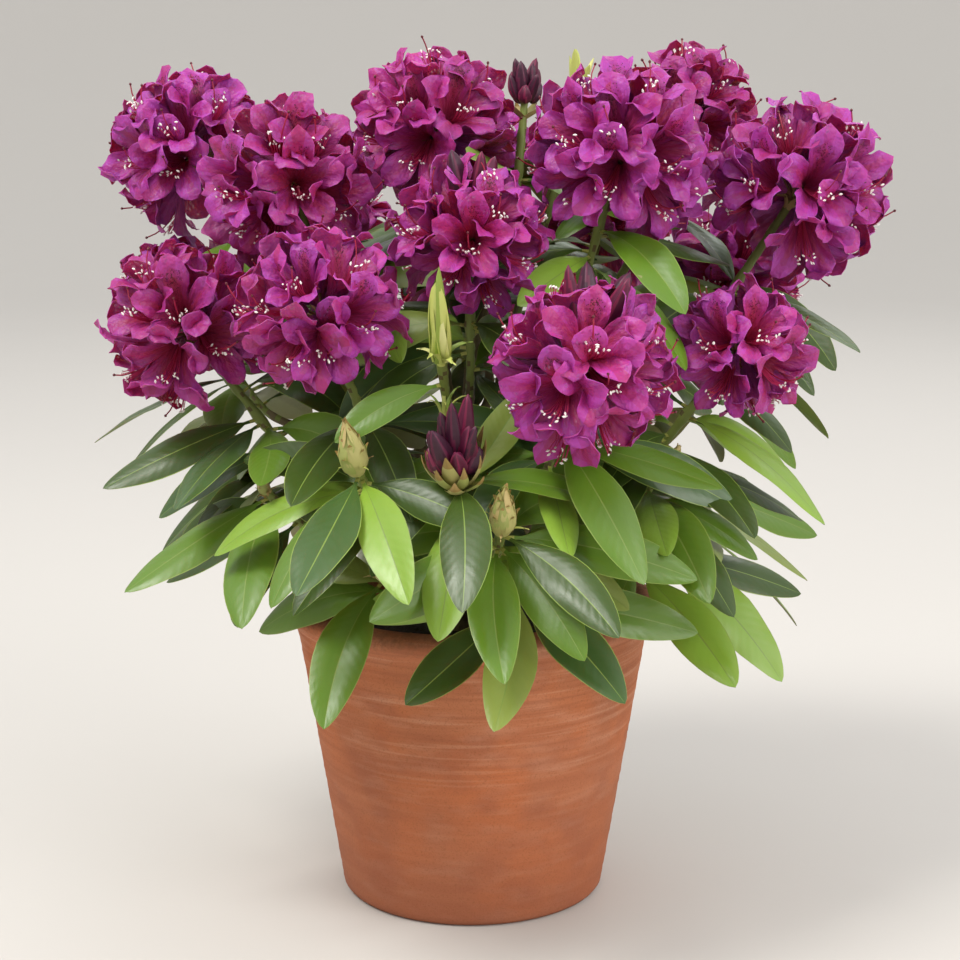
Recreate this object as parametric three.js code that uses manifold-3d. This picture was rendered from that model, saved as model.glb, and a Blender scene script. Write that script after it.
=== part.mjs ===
// A rhododendron in flower in a terracotta pot, in millimetres, +Z up.
// The origin is the middle of the pot's flat foot, and the front of the plant faces -Y.
import * as THREE from "three";
import { mergeVertices } from "three/addons/utils/BufferGeometryUtils.js";
import Module from "manifold-3d";

const wasm = await Module();
wasm.setup();

// Clearances: between neighbouring solids, and between a leaf or flower and its neighbours.
const FIT = 0.4;
const ROOM = 0.6;

// The pot is thrown round the Z axis: a straight cone that flares out to a thick rolled rim.
const POT_SIDES = 32;
const POT_HEIGHT = 205;
const FOOT_RADIUS = 87.5;
const FOOT_EDGE = 2.2;
const WALL_SLOPE = 0.161;
const FLARE_START = 160;
const RIM_RADIUS = 125;
const RIM_DROP = 12.5;
const WALL = 9.5;
const FLOOR = 14;

// The rim's section: steps in from its radius and up from its underside.
const RIM_SECTION = [
  [7.5, -7],
  [0.8, 0],
  [0, 4],
  [2.5, 8],
  [13, RIM_DROP],
  [16.5, RIM_DROP - 5],
];

// The soil's top is level round the trunk and falls a little towards the wall.
const SOIL_TOP = 180;
const SOIL_FALL = 3;

// The trunk is short and hidden inside the crown, and its boughs leave it in three tiers.
const TRUNK_HEIGHT = 60;
const TRUNK_FLARE_RADIUS = 20;
const TRUNK_RADIUS = 13.5;
const TRUNK_TOP_RADIUS = 10;
const TRUNK_LEAN = new THREE.Vector3(4, -3, 0);
const TRUNK_RUN_DOWN = 5;
const TIER_HEIGHTS = [194, 207, 220];
const LEADER_DROP = 8;
const BOUGH_RADIUS = 6.2;
const BOUGH_TIP_RADIUS = 4.8;
const KNUCKLE_RADIUS = 7.2;
const KNUCKLE_LENGTH = 7;

// A shoot springs from the knuckle at a bough's tip and turns away from a hub low in the crown.
const HUB_HEIGHT = 140;
const MAX_LEAN = 60;
const SHOOT_RADIUS = 3.2;
const SHOOT_TIP_RADIUS = 2.6;
const SHOOT_ANGLE = 61;

// How deep a shoot's end is sunk in the head that it carries.
const HEAD_DEPTH = 1.5;

// An average leaf. Those of a whorl spring LEAF_STEP apart along the shoot, spread away from it
// less under a bud than under blossom, and turn their faces partly towards the sky.
const LEAF_LENGTH = 112;
const LEAF_WIDTH = 31;
const LEAF_THICKNESS = 1.8;
const LEAF_STEP = 3.4;
const LEAF_DROOP = 0.36;
const SKYWARD = 0.85;
const BLOSSOM_SPREAD = 88;
const BUD_SPREAD = 82;

// How far one leaf strays from the next: degrees round the shoot and away from it.
const STRAY_ROUND = 22;
const STRAY_AWAY = 14;

// Sections along a leaf: a share of its length and of its width.
const LEAF_SECTIONS = [
  [0, 0.07],
  [0.42, 1],
  [0.78, 0.76],
];
const LEAF_BEND = 0.45;

// What a leaf tries in turn to find room: a turn aside, more droop and a share of its length.
const LEAF_TRIES = [
  [0, 0, 1],
  [16, 0, 1],
  [-16, 0, 1],
  [0, 0.4, 1],
  [30, 0.2, 0.85],
  [-30, 0.2, 0.85],
  [0, -0.4, 0.8],
  [12, 0.9, 0.8],
];

// A head of flowers domes back past its middle, and a cluster of buds stands upright.
const GOLDEN_ANGLE = 137.5;
const FLOWERS = 8;
const FLOWERS_CAP = 108;
const CLUSTER_BUDS = 6;
const CLUSTER_CAP = 42;
const CORE_SHARE = 0.22;

// One flower, as shares of the head's radius along the flower and out from its middle.
const FLOWER = { foot: 0.08, throat: 0.58, notch: 0.83, tip: 0.87, notchReach: 0.3, tipReach: 0.47 };

// How far buds and young leaves turn up from their stem.
const BUD_RISE = 0.8;

// Where a bud is widest, and the width of each kind, as shares of the length.
const BUD_WAIST = 0.38;
const BUD_BREADTH = { bud: 0.26, buds: 0.2, young: 0.12 };
const YOUNG_FORK = { angle: 24, share: 0.6 };

const COLOURS = { terracotta: 0xb5623f, soil: 0x35281f, bark: 0x6d6442 };
const MASS_COLOURS = { truss: 0x8c1a68, buds: 0x3f6b2a, bud: 0x3f6b2a, young: 0xb9bf6a };

// Each bough: name, bearing, reach and height of its tip. Bearing 0 is the front, 90 the right.
const BOUGHS = [
  ["front", 0, 72, 264],
  ["front_right", 40, 66, 300],
  ["right", 82, 74, 288],
  ["right_back", 124, 70, 300],
  ["back", 168, 68, 292],
  ["back_left", -150, 70, 292],
  ["left", -112, 76, 300],
  ["left_front", -72, 74, 286],
  ["front_left", -36, 84, 272],
  ["centre", -170, 16, 318],
];

// Each shoot: name, bough, what it carries, bearing, reach and height of its head, the head's
// size, and its whorl of leaves: how many, how far below the head, and how far it is turned.
const SHOOTS = [
  ["truss_left_top", "left", "truss", -113, 207, 490, 64, 7, 64, 10],
  ["truss_left_upper", "left_front", "truss", -75, 119, 476, 64, 6, 62, 40],
  ["truss_left_low", "left_front", "truss", -72, 188, 388, 58, 9, 74, 0],
  ["truss_front_left", "front_left", "truss", -37, 150, 405, 58, 8, 78, 20],
  ["truss_centre_top", "centre", "truss", -141, 39, 506, 60, 6, 58, 30],
  ["truss_centre", "centre", "truss", -1, 80, 446, 52, 7, 54, 0],
  ["truss_right_upper", "front_right", "truss", 61, 105, 497, 65, 8, 50, 15],
  ["truss_back_right_top", "right_back", "truss", 124, 180, 516, 51, 6, 56, 0],
  ["truss_right_top", "right", "truss", 90, 210, 469, 66, 8, 68, 25],
  ["truss_front_right", "front_right", "truss", 22, 173, 378, 62, 8, 56, 12],
  ["truss_right_low", "right", "truss", 66, 182, 378, 50, 8, 56, 0],
  ["truss_back_low", "back", "truss", -178, 190, 395, 56, 8, 60, 0],
  ["truss_back_right", "back", "truss", 152, 200, 430, 56, 7, 60, 20],
  ["truss_back_left", "back_left", "truss", -148, 205, 425, 57, 7, 60, 35],
  ["truss_back_top", "centre", "truss", -178, 125, 480, 56, 7, 56, 10],
  ["truss_right_back_low", "right_back", "truss", 118, 205, 405, 55, 7, 60, 30],
  ["truss_left_back_low", "left", "truss", -112, 215, 385, 55, 7, 60, 15],
  ["buds_back_top", "centre", "buds", 150, 70, 527, 32, 5, 40, 0],
  ["buds_front", "front", "buds", -3, 170, 322, 46, 8, 14, 15],
  ["bud_front_left", "front_left", "bud", -23, 174, 318, 36, 6, 6, 0],
  ["bud_front_low", "front_right", "bud", 6, 171, 284, 34, 6, 6, 40],
  ["young_front", "front", "young", -7, 148, 384, 58, 0, 8, 0],
  ["young_back", "back", "young", 142, 114, 524, 44, 0, 8, 0],
  ["whorl_front", "front", "bud", 11, 153, 242, 14, 8, 5, -15],
  ["whorl_front_left", "front_left", "bud", -26, 127, 242, 14, 7, 5, 0],
  ["whorl_left_front", "left_front", "bud", -58, 153, 289, 14, 8, 5, 0],
  ["whorl_right_front", "front_right", "bud", 54, 154, 309, 14, 8, 5, 0],
  ["whorl_right_low", "right", "bud", 60, 140, 250, 14, 7, 5, 0],
  ["whorl_back", "back", "bud", 180, 150, 260, 14, 7, 5, 0],
  ["whorl_back_left", "back_left", "bud", -140, 150, 265, 14, 7, 5, 10],
  ["whorl_back_right", "right_back", "bud", 140, 150, 265, 14, 8, 5, 30],
  ["whorl_left", "left", "bud", -100, 135, 290, 14, 7, 5, 0],
  ["whorl_right", "right", "bud", 95, 150, 275, 14, 8, 5, 20],
];

const UP = new THREE.Vector3(0, 0, 1);
const radians = THREE.MathUtils.degToRad;
const mix = THREE.MathUtils.lerp;

// The point at a bearing, a reach from the Z axis and a height.
function place(bearing, reach, height) {
  const angle = radians(bearing);
  return new THREE.Vector3(reach * Math.sin(angle), -reach * Math.cos(angle), height);
}

// A repeatable stream of random numbers between 0 and 1.
function seededRandom(seed) {
  let state = seed;
  return () => {
    state = (state + 0x6d2b79f5) >>> 0;
    let bits = Math.imul(state ^ (state >>> 15), state | 1);
    bits ^= bits + Math.imul(bits ^ (bits >>> 7), bits | 61);
    return ((bits ^ (bits >>> 14)) >>> 0) / 2 ** 32;
  };
}

// A three.js geometry as a solid that can be joined and cut.
function solidOf(geometry) {
  geometry.deleteAttribute("normal");
  geometry.deleteAttribute("uv");
  const merged = mergeVertices(geometry);
  const vertProperties = merged.attributes.position.array;
  const triVerts = new Uint32Array(merged.index.array);
  return new wasm.Manifold(new wasm.Mesh({ numProp: 3, vertProperties, triVerts }));
}

// The largest body of a solid as a mesh: a hollow sealed inside it is filled.
function meshOf(name, solid, colour, roughness) {
  const body = solid.decompose().reduce((a, b) => (b.volume() > a.volume() ? b : a));
  const { vertProperties, triVerts } = body.getMesh();
  const geometry = new THREE.BufferGeometry();
  geometry.setAttribute("position", new THREE.BufferAttribute(vertProperties, 3));
  geometry.setIndex(new THREE.BufferAttribute(triVerts, 1));
  geometry.computeVertexNormals();
  const material = new THREE.MeshStandardMaterial({ color: colour, roughness, metalness: 0 });
  const mesh = new THREE.Mesh(geometry, material);
  mesh.name = name;
  return mesh;
}

// A closed solid skinned over rings of points that turn left-handed about the way they advance.
// A ring of one point is a sharp end.
function skin(rings) {
  const points = rings.flat();
  const faces = [];
  let start = 0;
  rings.slice(0, -1).forEach((ring, i) => {
    const next = rings[i + 1];
    const sides = Math.max(ring.length, next.length);
    const nextStart = start + ring.length;
    for (let j = 0; j < sides; j++) {
      const k = (j + 1) % sides;
      if (ring.length > 1) faces.push(start + j, start + k, nextStart + (k % next.length));
      if (next.length > 1) faces.push(start + (j % ring.length), nextStart + k, nextStart + j);
    }
    start = nextStart;
  });
  for (let j = 1; j + 1 < rings[0].length; j++) faces.push(0, j + 1, j);
  for (let j = 1; j + 1 < rings.at(-1).length; j++) faces.push(start, start + j, start + j + 1);
  const geometry = new THREE.BufferGeometry().setFromPoints(points);
  geometry.setIndex(faces);
  return solidOf(geometry);
}

// A ring of points about a centre, across the two given directions.
function ring(centre, across, over, radius, sides) {
  return Array.from({ length: sides }, (_, i) => {
    const angle = (2 * Math.PI * i) / sides;
    return centre.clone()
      .addScaledVector(across, radius * Math.cos(angle))
      .addScaledVector(over, radius * Math.sin(angle));
  });
}

// A limb along a curve. Each station is a share of the curve's length, a radius there and how far
// straight past that point the station lies. The margin makes the limb fatter and longer all
// round, as the solid that cuts a socket for it.
function limb(curve, stations, sides, margin = 0) {
  const steps = 100;
  const frames = curve.computeFrenetFrames(steps, false);
  return skin(stations.map(([share, radius, past = 0], i) => {
    const at = Math.round(share * steps);
    const end = i === 0 ? -margin : i === stations.length - 1 ? margin : 0;
    const centre = curve.getPointAt(share).addScaledVector(frames.tangents[at], past + end);
    return ring(centre, frames.normals[at], frames.binormals[at], radius + margin, sides);
  }));
}

// Two directions across an axis: the first runs downhill from it.
function crossing(axis) {
  const downhill = UP.clone().negate().addScaledVector(axis, axis.z).normalize();
  return [downhill, axis.clone().cross(downhill)];
}

// A direction at an angle from an axis, turned round it from its downhill side.
function aim(axis, angle, turn) {
  const [downhill, level] = crossing(axis);
  const away = Math.sin(radians(angle));
  return axis.clone().multiplyScalar(Math.cos(radians(angle)))
    .addScaledVector(downhill, away * Math.cos(radians(turn)))
    .addScaledVector(level, away * Math.sin(radians(turn)));
}

// Directions spread evenly over a cap about an axis, round and round by the golden angle.
function spiral(axis, count, cap, turn) {
  return Array.from({ length: count }, (_, i) => {
    const height = 1 - (1 - Math.cos(radians(cap))) * ((i + 0.5) / count);
    return aim(axis, THREE.MathUtils.radToDeg(Math.acos(height)), turn + i * GOLDEN_ANGLE);
  });
}

function makePot() {
  const wallAt = (z) => FOOT_RADIUS + WALL_SLOPE * z;
  const rimBottom = POT_HEIGHT - RIM_DROP;
  const profile = [
    [0, 0],
    [FOOT_RADIUS - FOOT_EDGE, 0],
    [wallAt(FOOT_EDGE), FOOT_EDGE],
    [wallAt(FLARE_START), FLARE_START],
    ...RIM_SECTION.map(([inward, up]) => [RIM_RADIUS - inward, rimBottom + up]),
    [wallAt(SOIL_TOP) - WALL, SOIL_TOP],
    [wallAt(FLOOR) - WALL, FLOOR],
    [0, FLOOR],
  ];
  return solidOf(latheOf(profile));
}

function makeSoil() {
  const wallAt = (z) => FOOT_RADIUS + WALL_SLOPE * z - WALL - FIT;
  const profile = [
    [0, FLOOR + FIT],
    [wallAt(FLOOR), FLOOR + FIT],
    [wallAt(SOIL_TOP - SOIL_FALL), SOIL_TOP - SOIL_FALL],
    [0.8 * wallAt(SOIL_TOP), SOIL_TOP - 0.3 * SOIL_FALL],
    [1.6 * TRUNK_FLARE_RADIUS, SOIL_TOP],
    [0, SOIL_TOP],
  ];
  return solidOf(latheOf(profile));
}

function latheOf(profile) {
  const outline = profile.map(([r, z]) => new THREE.Vector2(r, z));
  return new THREE.LatheGeometry(outline, POT_SIDES).rotateX(Math.PI / 2);
}

// The trunk's middle line, from its flat cut on the soil up to its fork.
const trunkFoot = new THREE.Vector3(0, 0, SOIL_TOP + FIT);
const trunkTop = trunkFoot.clone().add(TRUNK_LEAN).setZ(SOIL_TOP + TRUNK_HEIGHT);
const trunkLine = new THREE.LineCurve3(trunkFoot, trunkTop);

function makeTrunk(margin) {
  const stations = [
    [0, TRUNK_FLARE_RADIUS, -TRUNK_RUN_DOWN],
    [0, TRUNK_FLARE_RADIUS],
    [0.12, mix(TRUNK_RADIUS, TRUNK_FLARE_RADIUS, 0.45)],
    [0.35, TRUNK_RADIUS],
    [0.93, TRUNK_TOP_RADIUS],
    [1, 0.7 * TRUNK_TOP_RADIUS],
  ];
  return limb(trunkLine, stations, 10, margin).trimByPlane([0, 0, 1], trunkFoot.z - margin);
}

// A bough runs out from the trunk's middle, turns up and ends in a knuckle.
function boughLine(index, bearing, reach, height) {
  const isLeader = index === BOUGHS.length - 1;
  const tier = TIER_HEIGHTS[index % TIER_HEIGHTS.length];
  const rootHeight = isLeader ? trunkTop.z - LEADER_DROP : tier;
  const root = trunkLine.getPointAt((rootHeight - trunkFoot.z) / (trunkTop.z - trunkFoot.z));
  const tip = place(bearing, reach, height);
  const elbow = place(bearing, 0.85 * reach, mix(rootHeight, height, 0.35));
  return new THREE.QuadraticBezierCurve3(root, elbow, tip);
}

function makeBough(line, margin) {
  const knuckle = KNUCKLE_LENGTH / line.getLength();
  const stations = [
    [0, BOUGH_RADIUS],
    [0.25, mix(BOUGH_RADIUS, BOUGH_TIP_RADIUS, 0.25)],
    [0.5, mix(BOUGH_RADIUS, BOUGH_TIP_RADIUS, 0.5)],
    [0.75, mix(BOUGH_RADIUS, BOUGH_TIP_RADIUS, 0.75)],
    [1 - 2 * knuckle, BOUGH_TIP_RADIUS],
    [1 - knuckle, KNUCKLE_RADIUS],
    [1, 0.7 * KNUCKLE_RADIUS],
  ];
  return limb(line, stations, 6, margin);
}

// The shoots on one knuckle leave it at least SHOOT_ANGLE apart, each as near its own way out
// as the others let it.
function seatShoots(shoots) {
  const passes = 80;
  const least = radians(SHOOT_ANGLE);
  for (let pass = 0; pass < passes; pass++)
    shoots.forEach(({ seat: a }, i) => shoots.slice(i + 1).forEach(({ seat: b }) => {
      const short = least - a.angleTo(b);
      if (short <= 0) return;
      const push = a.clone().sub(b).setLength(short / 2);
      a.add(push).normalize();
      b.sub(push).normalize();
    }));
}

// One flower: a funnel with five pointed lobes and a hollow throat, its foot in the head's core.
function makeFlower(centre, axis, size, turn) {
  const { foot, throat, notch, tip, notchReach, tipReach } = FLOWER;
  const [across, over] = crossing(axis).map((way) => way.applyAxisAngle(axis, radians(turn)));
  const along = (share) => centre.clone().addScaledVector(axis, share * size);
  const tips = ring(along(tip), across, over, tipReach * size, 10);
  const notches = ring(along(notch), across, over, notchReach * size, 10);
  const lip = tips.map((point, i) => (i % 2 ? notches[i] : point));
  return skin([[along(foot)], lip, [along(throat)]]);
}

// A pointed bud, widest below its middle.
function makeBud(foot, axis, length, radius) {
  const [across, over] = crossing(axis);
  const along = (share) => foot.clone().addScaledVector(axis, share * length);
  return skin([[along(0)], ring(along(BUD_WAIST), across, over, radius, 5), [along(1)]]);
}

// What a shoot carries at its tip, as loose solids that meet inside one another.
function makeHead({ kind, centre, axis, size }, random) {
  const radius = BUD_BREADTH[kind] * size;
  const upright = axis.clone().addScaledVector(UP, BUD_RISE).normalize();
  if (kind === "bud") return [makeBud(centre, upright, size, radius)];
  if (kind === "young") {
    const { angle, share } = YOUNG_FORK;
    const second = makeBud(centre, aim(upright, angle, 360 * random()), share * size, radius);
    return [makeBud(centre, upright, size, radius), second];
  }
  const core = solidOf(new THREE.OctahedronGeometry(CORE_SHARE * size).translate(...centre));
  if (kind === "buds") {
    const ways = spiral(upright, CLUSTER_BUDS, CLUSTER_CAP, 0);
    return [core, ...ways.map((way) => makeBud(centre, way, size, radius))];
  }
  const ways = spiral(axis, FLOWERS, FLOWERS_CAP, 360 * random());
  return [core, ...ways.map((way) => makeFlower(centre, way, size, 72 * random()))];
}

// A leaf arches down as it leaves its root: three-cornered sections run out to a point.
function makeLeaf(root, way, face, length, droop) {
  const hanging = way.clone().addScaledVector(UP, -droop).normalize();
  const elbow = root.clone().addScaledVector(way, LEAF_BEND * length);
  const tip = elbow.clone().addScaledVector(hanging, (1 - LEAF_BEND) * length);
  const midrib = new THREE.QuadraticBezierCurve3(root, elbow, tip);
  const width = (LEAF_WIDTH * length) / LEAF_LENGTH;
  const sections = LEAF_SECTIONS.map(([share, breadth]) => {
    const centre = midrib.getPointAt(share);
    const tangent = midrib.getTangentAt(share);
    const side = face.clone().cross(tangent).normalize();
    const below = side.clone().cross(tangent).setLength(LEAF_THICKNESS);
    const half = 0.5 * breadth * width;
    return [
      centre.clone().addScaledVector(side, half),
      centre.clone().addScaledVector(side, -half),
      centre.clone().add(below),
    ];
  });
  return skin([...sections, [tip]]);
}

// Whether a solid stays ROOM clear of all the others.
function isClear(solid, others) {
  const { min, max } = solid.boundingBox();
  return others.every((other) => {
    const box = other.boundingBox();
    const apart = [0, 1, 2].some((i) => box.min[i] > max[i] + ROOM || box.max[i] < min[i] - ROOM);
    return apart || solid.minGap(other, ROOM) >= ROOM;
  });
}

// A whorl of leaves round a shoot. A leaf that would touch its neighbours is turned aside, hangs
// lower or is shorter, or else it is left out.
function addWhorl(shoot, random) {
  const { kind, axis, whorl, leaves, turn } = shoot;
  const spread = kind === "truss" ? BLOSSOM_SPREAD : BUD_SPREAD;
  const stance = axis.clone().addScaledVector(UP, SKYWARD).normalize();
  for (let i = 0; i < leaves; i++) {
    const bearing = turn + (360 * i) / leaves + STRAY_ROUND * (random() - 0.5);
    const angle = spread + STRAY_AWAY * (random() - 0.5);
    const length = LEAF_LENGTH * mix(0.88, 1.12, random());
    const fall = LEAF_DROOP * mix(0.3, 2.9, random());
    const root = whorl.clone().addScaledVector(axis, -LEAF_STEP * i);
    for (const [aside, lower, share] of LEAF_TRIES) {
      const way = aim(stance, angle, bearing + aside);
      const leaf = makeLeaf(root, way, stance, share * length, fall + lower);
      const others = solids.filter(({ solid }) => solid !== shoot.stem);
      if (!isClear(leaf, others.map(({ solid }) => solid))) continue;
      solids.push({ owner: shoot, solid: leaf });
      break;
    }
  }
}

// Everything placed so far, with the shoot that owns it.
const solids = [];

const plant = new THREE.Group();
const pot = makePot();
const soil = makeSoil();
const trunk = makeTrunk(0);
plant.add(meshOf("pot", pot, COLOURS.terracotta, 0.85));
plant.add(meshOf("soil", soil, COLOURS.soil, 1));
plant.add(meshOf("trunk", trunk, COLOURS.bark, 0.9));
[pot, soil, trunk].forEach((solid) => solids.push({ solid }));

const trunkSocket = makeTrunk(FIT);
const boughs = new Map();
BOUGHS.forEach(([name, ...where], index) => {
  const line = boughLine(index, ...where);
  const solid = makeBough(line, 0).subtract(trunkSocket);
  boughs.set(name, { line, socket: makeBough(line, FIT) });
  plant.add(meshOf(`bough_${name}`, solid, COLOURS.bark, 0.9));
  solids.push({ solid });
});

const shoots = SHOOTS.map((row, i) => {
  const [name, bough, kind, bearing, reach, height, size, leaves, stalk, turn] = row;
  const { line, socket } = boughs.get(bough);
  const centre = place(bearing, reach, height);
  const lean = Math.min(radians(MAX_LEAN), Math.atan2(reach, height - HUB_HEIGHT));
  const axis = place(bearing, Math.sin(lean), Math.cos(lean));
  const root = line.getPointAt(1 - KNUCKLE_LENGTH / line.getLength());
  const seat = centre.clone().sub(root).normalize().add(line.getTangentAt(1)).normalize();
  const whorl = centre.clone().addScaledVector(axis, -stalk);
  const seed = i + 1;
  return { name, bough, kind, centre, axis, size, leaves, turn, whorl, root, seat, socket, seed };
});
boughs.forEach((_, name) => seatShoots(shoots.filter(({ bough }) => bough === name)));

// The stem curves from its knuckle to the head, and the cut of its socket leaves it FIT clear.
shoots.forEach((shoot) => {
  const { root, seat, centre, axis, whorl, leaves, socket } = shoot;
  const end = whorl.clone().addScaledVector(axis, -LEAF_STEP * leaves);
  const span = end.distanceTo(root);
  const line = new THREE.CubicBezierCurve3(
    root,
    root.clone().addScaledVector(seat, 0.35 * span),
    end.clone().addScaledVector(axis, -0.35 * span),
    end,
  );
  const stations = [0, 0.25, 0.5, 0.75, 1]
    .map((share) => [share, mix(SHOOT_RADIUS, SHOOT_TIP_RADIUS, share)]);
  stations.push([1, SHOOT_TIP_RADIUS, end.distanceTo(centre) + HEAD_DEPTH]);
  shoot.stem = limb(line, stations, 3).subtract(socket);
  solids.push({ owner: shoot, solid: shoot.stem });
});

// Flowers and buds come before leaves, so that a leaf gives way to them.
shoots.forEach((shoot) => {
  const random = seededRandom(1000 + shoot.seed);
  makeHead(shoot, random).forEach((solid) => {
    const others = solids.filter(({ owner }) => owner !== shoot).map(({ solid: other }) => other);
    if (isClear(solid, others)) solids.push({ owner: shoot, solid });
  });
});

shoots.forEach((shoot) => addWhorl(shoot, seededRandom(shoot.seed)));

shoots.forEach((shoot) => {
  const own = solids.filter(({ owner }) => owner === shoot).map(({ solid }) => solid);
  plant.add(meshOf(shoot.name, wasm.Manifold.union(own), MASS_COLOURS[shoot.kind], 0.6));
});

export default plant;
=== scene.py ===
"""The looks of a rhododendron in flower in a terracotta pot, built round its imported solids.

Lengths are in millimetres until a mesh is made. +Z is up and the front of the plant faces -Y.
"""
import math
import bpy
import numpy as np
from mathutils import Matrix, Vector, noise
from mathutils.kdtree import KDTree


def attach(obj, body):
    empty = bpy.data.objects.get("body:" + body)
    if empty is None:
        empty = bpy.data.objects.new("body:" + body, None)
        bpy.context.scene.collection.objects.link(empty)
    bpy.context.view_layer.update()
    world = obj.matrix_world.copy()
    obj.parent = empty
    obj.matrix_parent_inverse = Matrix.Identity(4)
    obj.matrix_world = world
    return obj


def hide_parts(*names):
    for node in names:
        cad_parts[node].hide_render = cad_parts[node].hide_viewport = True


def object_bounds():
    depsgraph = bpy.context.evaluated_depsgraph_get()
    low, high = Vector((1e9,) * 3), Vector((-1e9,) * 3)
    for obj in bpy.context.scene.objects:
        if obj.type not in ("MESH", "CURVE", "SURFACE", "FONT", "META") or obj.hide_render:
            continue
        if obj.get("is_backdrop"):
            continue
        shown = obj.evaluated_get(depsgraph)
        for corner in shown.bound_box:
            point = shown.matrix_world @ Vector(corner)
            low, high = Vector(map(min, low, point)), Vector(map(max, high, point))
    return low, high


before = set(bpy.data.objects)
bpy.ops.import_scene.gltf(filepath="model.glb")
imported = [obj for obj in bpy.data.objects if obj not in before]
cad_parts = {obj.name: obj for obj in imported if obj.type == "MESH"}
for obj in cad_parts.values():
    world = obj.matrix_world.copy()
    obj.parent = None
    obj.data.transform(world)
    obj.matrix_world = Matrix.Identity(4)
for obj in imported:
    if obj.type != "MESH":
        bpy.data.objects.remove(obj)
cad_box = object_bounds()

MM = 0.001
UP = np.array([0.0, 0.0, 1.0])
LEVEL = np.array([1, 1, 0])
TINY = 1e-6
GOLDEN_ANGLE = 137.5
CURVE_SAMPLES = 120
PIECE_LIMIT = 190000
SHARP_ANGLE = 75

# The pot, its rim's section as steps in and up, and the soil in it
FIT = 0.4
NEAR_AXIS = 0.01
POT_SIDES = 96
POT_ROWS = 170
POT_HEIGHT = 205
FOOT_RADIUS = 87.5
FOOT_EDGE = 2.2
WALL_SLOPE = 0.161
FLARE_START = 160
RIM_RADIUS = 125
RIM_DROP = 12.5
WALL = 9.5
FLOOR = 14
RIM_SECTION = [(7.5, -7), (0.8, 0), (0, 4), (2.5, 8), (13, RIM_DROP), (16.5, RIM_DROP - 5)]
THROWING_RIDGE = 7.3
SOIL_TOP = 180
SOIL_FALL = 3
SOIL_FLAT = 32
SOIL_ROWS = 60
SOIL_SIDES = 120
SOIL_SEED = 3
CRUMBS = 330
CRUMB_SIZES = (0.8, 3.2)

# Rough surfaces: how far noise moves them, the length of its waves, and how they are drawn out
RIM_WEAR = (0.5, 22)
SOIL_RELIEF = (1.4, 9)
TRUNK_BARK = (1.5, 5, 3)
BOUGH_BARK = (0.9, 4)

# The trunk and its boughs
TRUNK_HEIGHT = 60
TRUNK_STATIONS = [(0, 20), (0.12, 16.4), (0.35, 13.5), (0.93, 10), (1, 7)]
TRUNK_LEAN = (4, -3)
TRUNK_ROWS = 50
TRUNK_SIDES = 40
TRUNK_FLUTES = 5
TIER_HEIGHTS = [194, 207, 220]
LEADER_DROP = 8
BOUGH_RADIUS = 6.2
BOUGH_TIP_RADIUS = 4.8
BOUGH_SAMPLES = 200
BOUGH_ROWS = 46
BOUGH_SIDES = 18
KNUCKLE_RADIUS = 7.2
KNUCKLE_LENGTH = 7

# The shoots
HUB_HEIGHT = 140
MAX_LEAN = 60
SHOOT_RADIUS = 3.2
SHOOT_TIP_RADIUS = 2.6
SHOOT_ANGLE = 61
SEAT_PASSES = 80
ROOT_STEPS = 2000
STEM_PULL = 0.35
STEM_SAMPLES = 60
STEM_ROWS = 48
STEM_SIDES = 8

# The leaves, with the turns, droops and lengths that one tries to find room
LEAF_LENGTH = 112
LEAF_WIDTH = 31
LEAF_STEP = 3.4
LEAF_DROOP = 0.36
LEAF_BEND = 0.45
SKYWARD = 0.85
LIGHT_SIDE = np.array([-0.2, -1.0, 0.2])
OUTWARD_LEAN = (0, 0.5)
LIGHT_LEAN = (0.2, 1.1)
LEAF_ASIDE = 0.09
LEAF_FOLDS = (0.12, 0.34)
LEAF_BOWS = (0.15, 0.4)
LEAF_TWIST = 0.35
RIPPLES = (1.5, 2.6)
RIPPLE_SIZES = (0.02, 0.07)
BLOSSOM_SPREAD = 88
BUD_SPREAD = 82
STRAY_ROUND = 22
STRAY_AWAY = 14
LEAF_TRIES = [
    (0, 0, 1), (16, 0, 1), (-16, 0, 1), (0, 0.4, 1),
    (30, 0.2, 0.85), (-30, 0.2, 0.85), (0, -0.4, 0.8), (12, 0.9, 0.8),
]
TIP_MATCH = 0.5

# A leaf's mesh: its columns as shares of half its width, of which the first are on its upper
# side, its rows, and its side veins
LEAF_COLUMNS = np.array([-1, -0.965, -0.65, -0.32, -0.027, 0.027, 0.32, 0.65, 0.965, 1,
                         0.5, 0.06, -0.06, -0.5])
LEAF_TOPS = 10
LEAF_ROWS = 22
LEAF_SAMPLES = 400
END_CROWDING = 0.6
STALK_SHARE = 0.1
VEINS = 15
VEIN_SWEEP = 2.2
WAVE_LENGTH = 0.314

# The old leaves further down the stems, which grow only where they have room
OLD_LEAF_SEED = 500
OLD_LEAF_SHARES = [0.5, 0.68, 0.86]
OLD_LEAVES = 4
OLD_LEAF_LENGTHS = (0.72, 1.05)
OLD_LEAF_DROOPS = (0.3, 1.1)
OLD_LEAF_SPREAD = 80
OLD_LEAF_TRIES = [0, 25, -25, 50, -50]
OLD_LEAF_ROOM = 10
HEAD_ROOM = 3
STEM_ROOM = 7
POT_ROOM = 232
RIM_ROOM = 48

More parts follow.
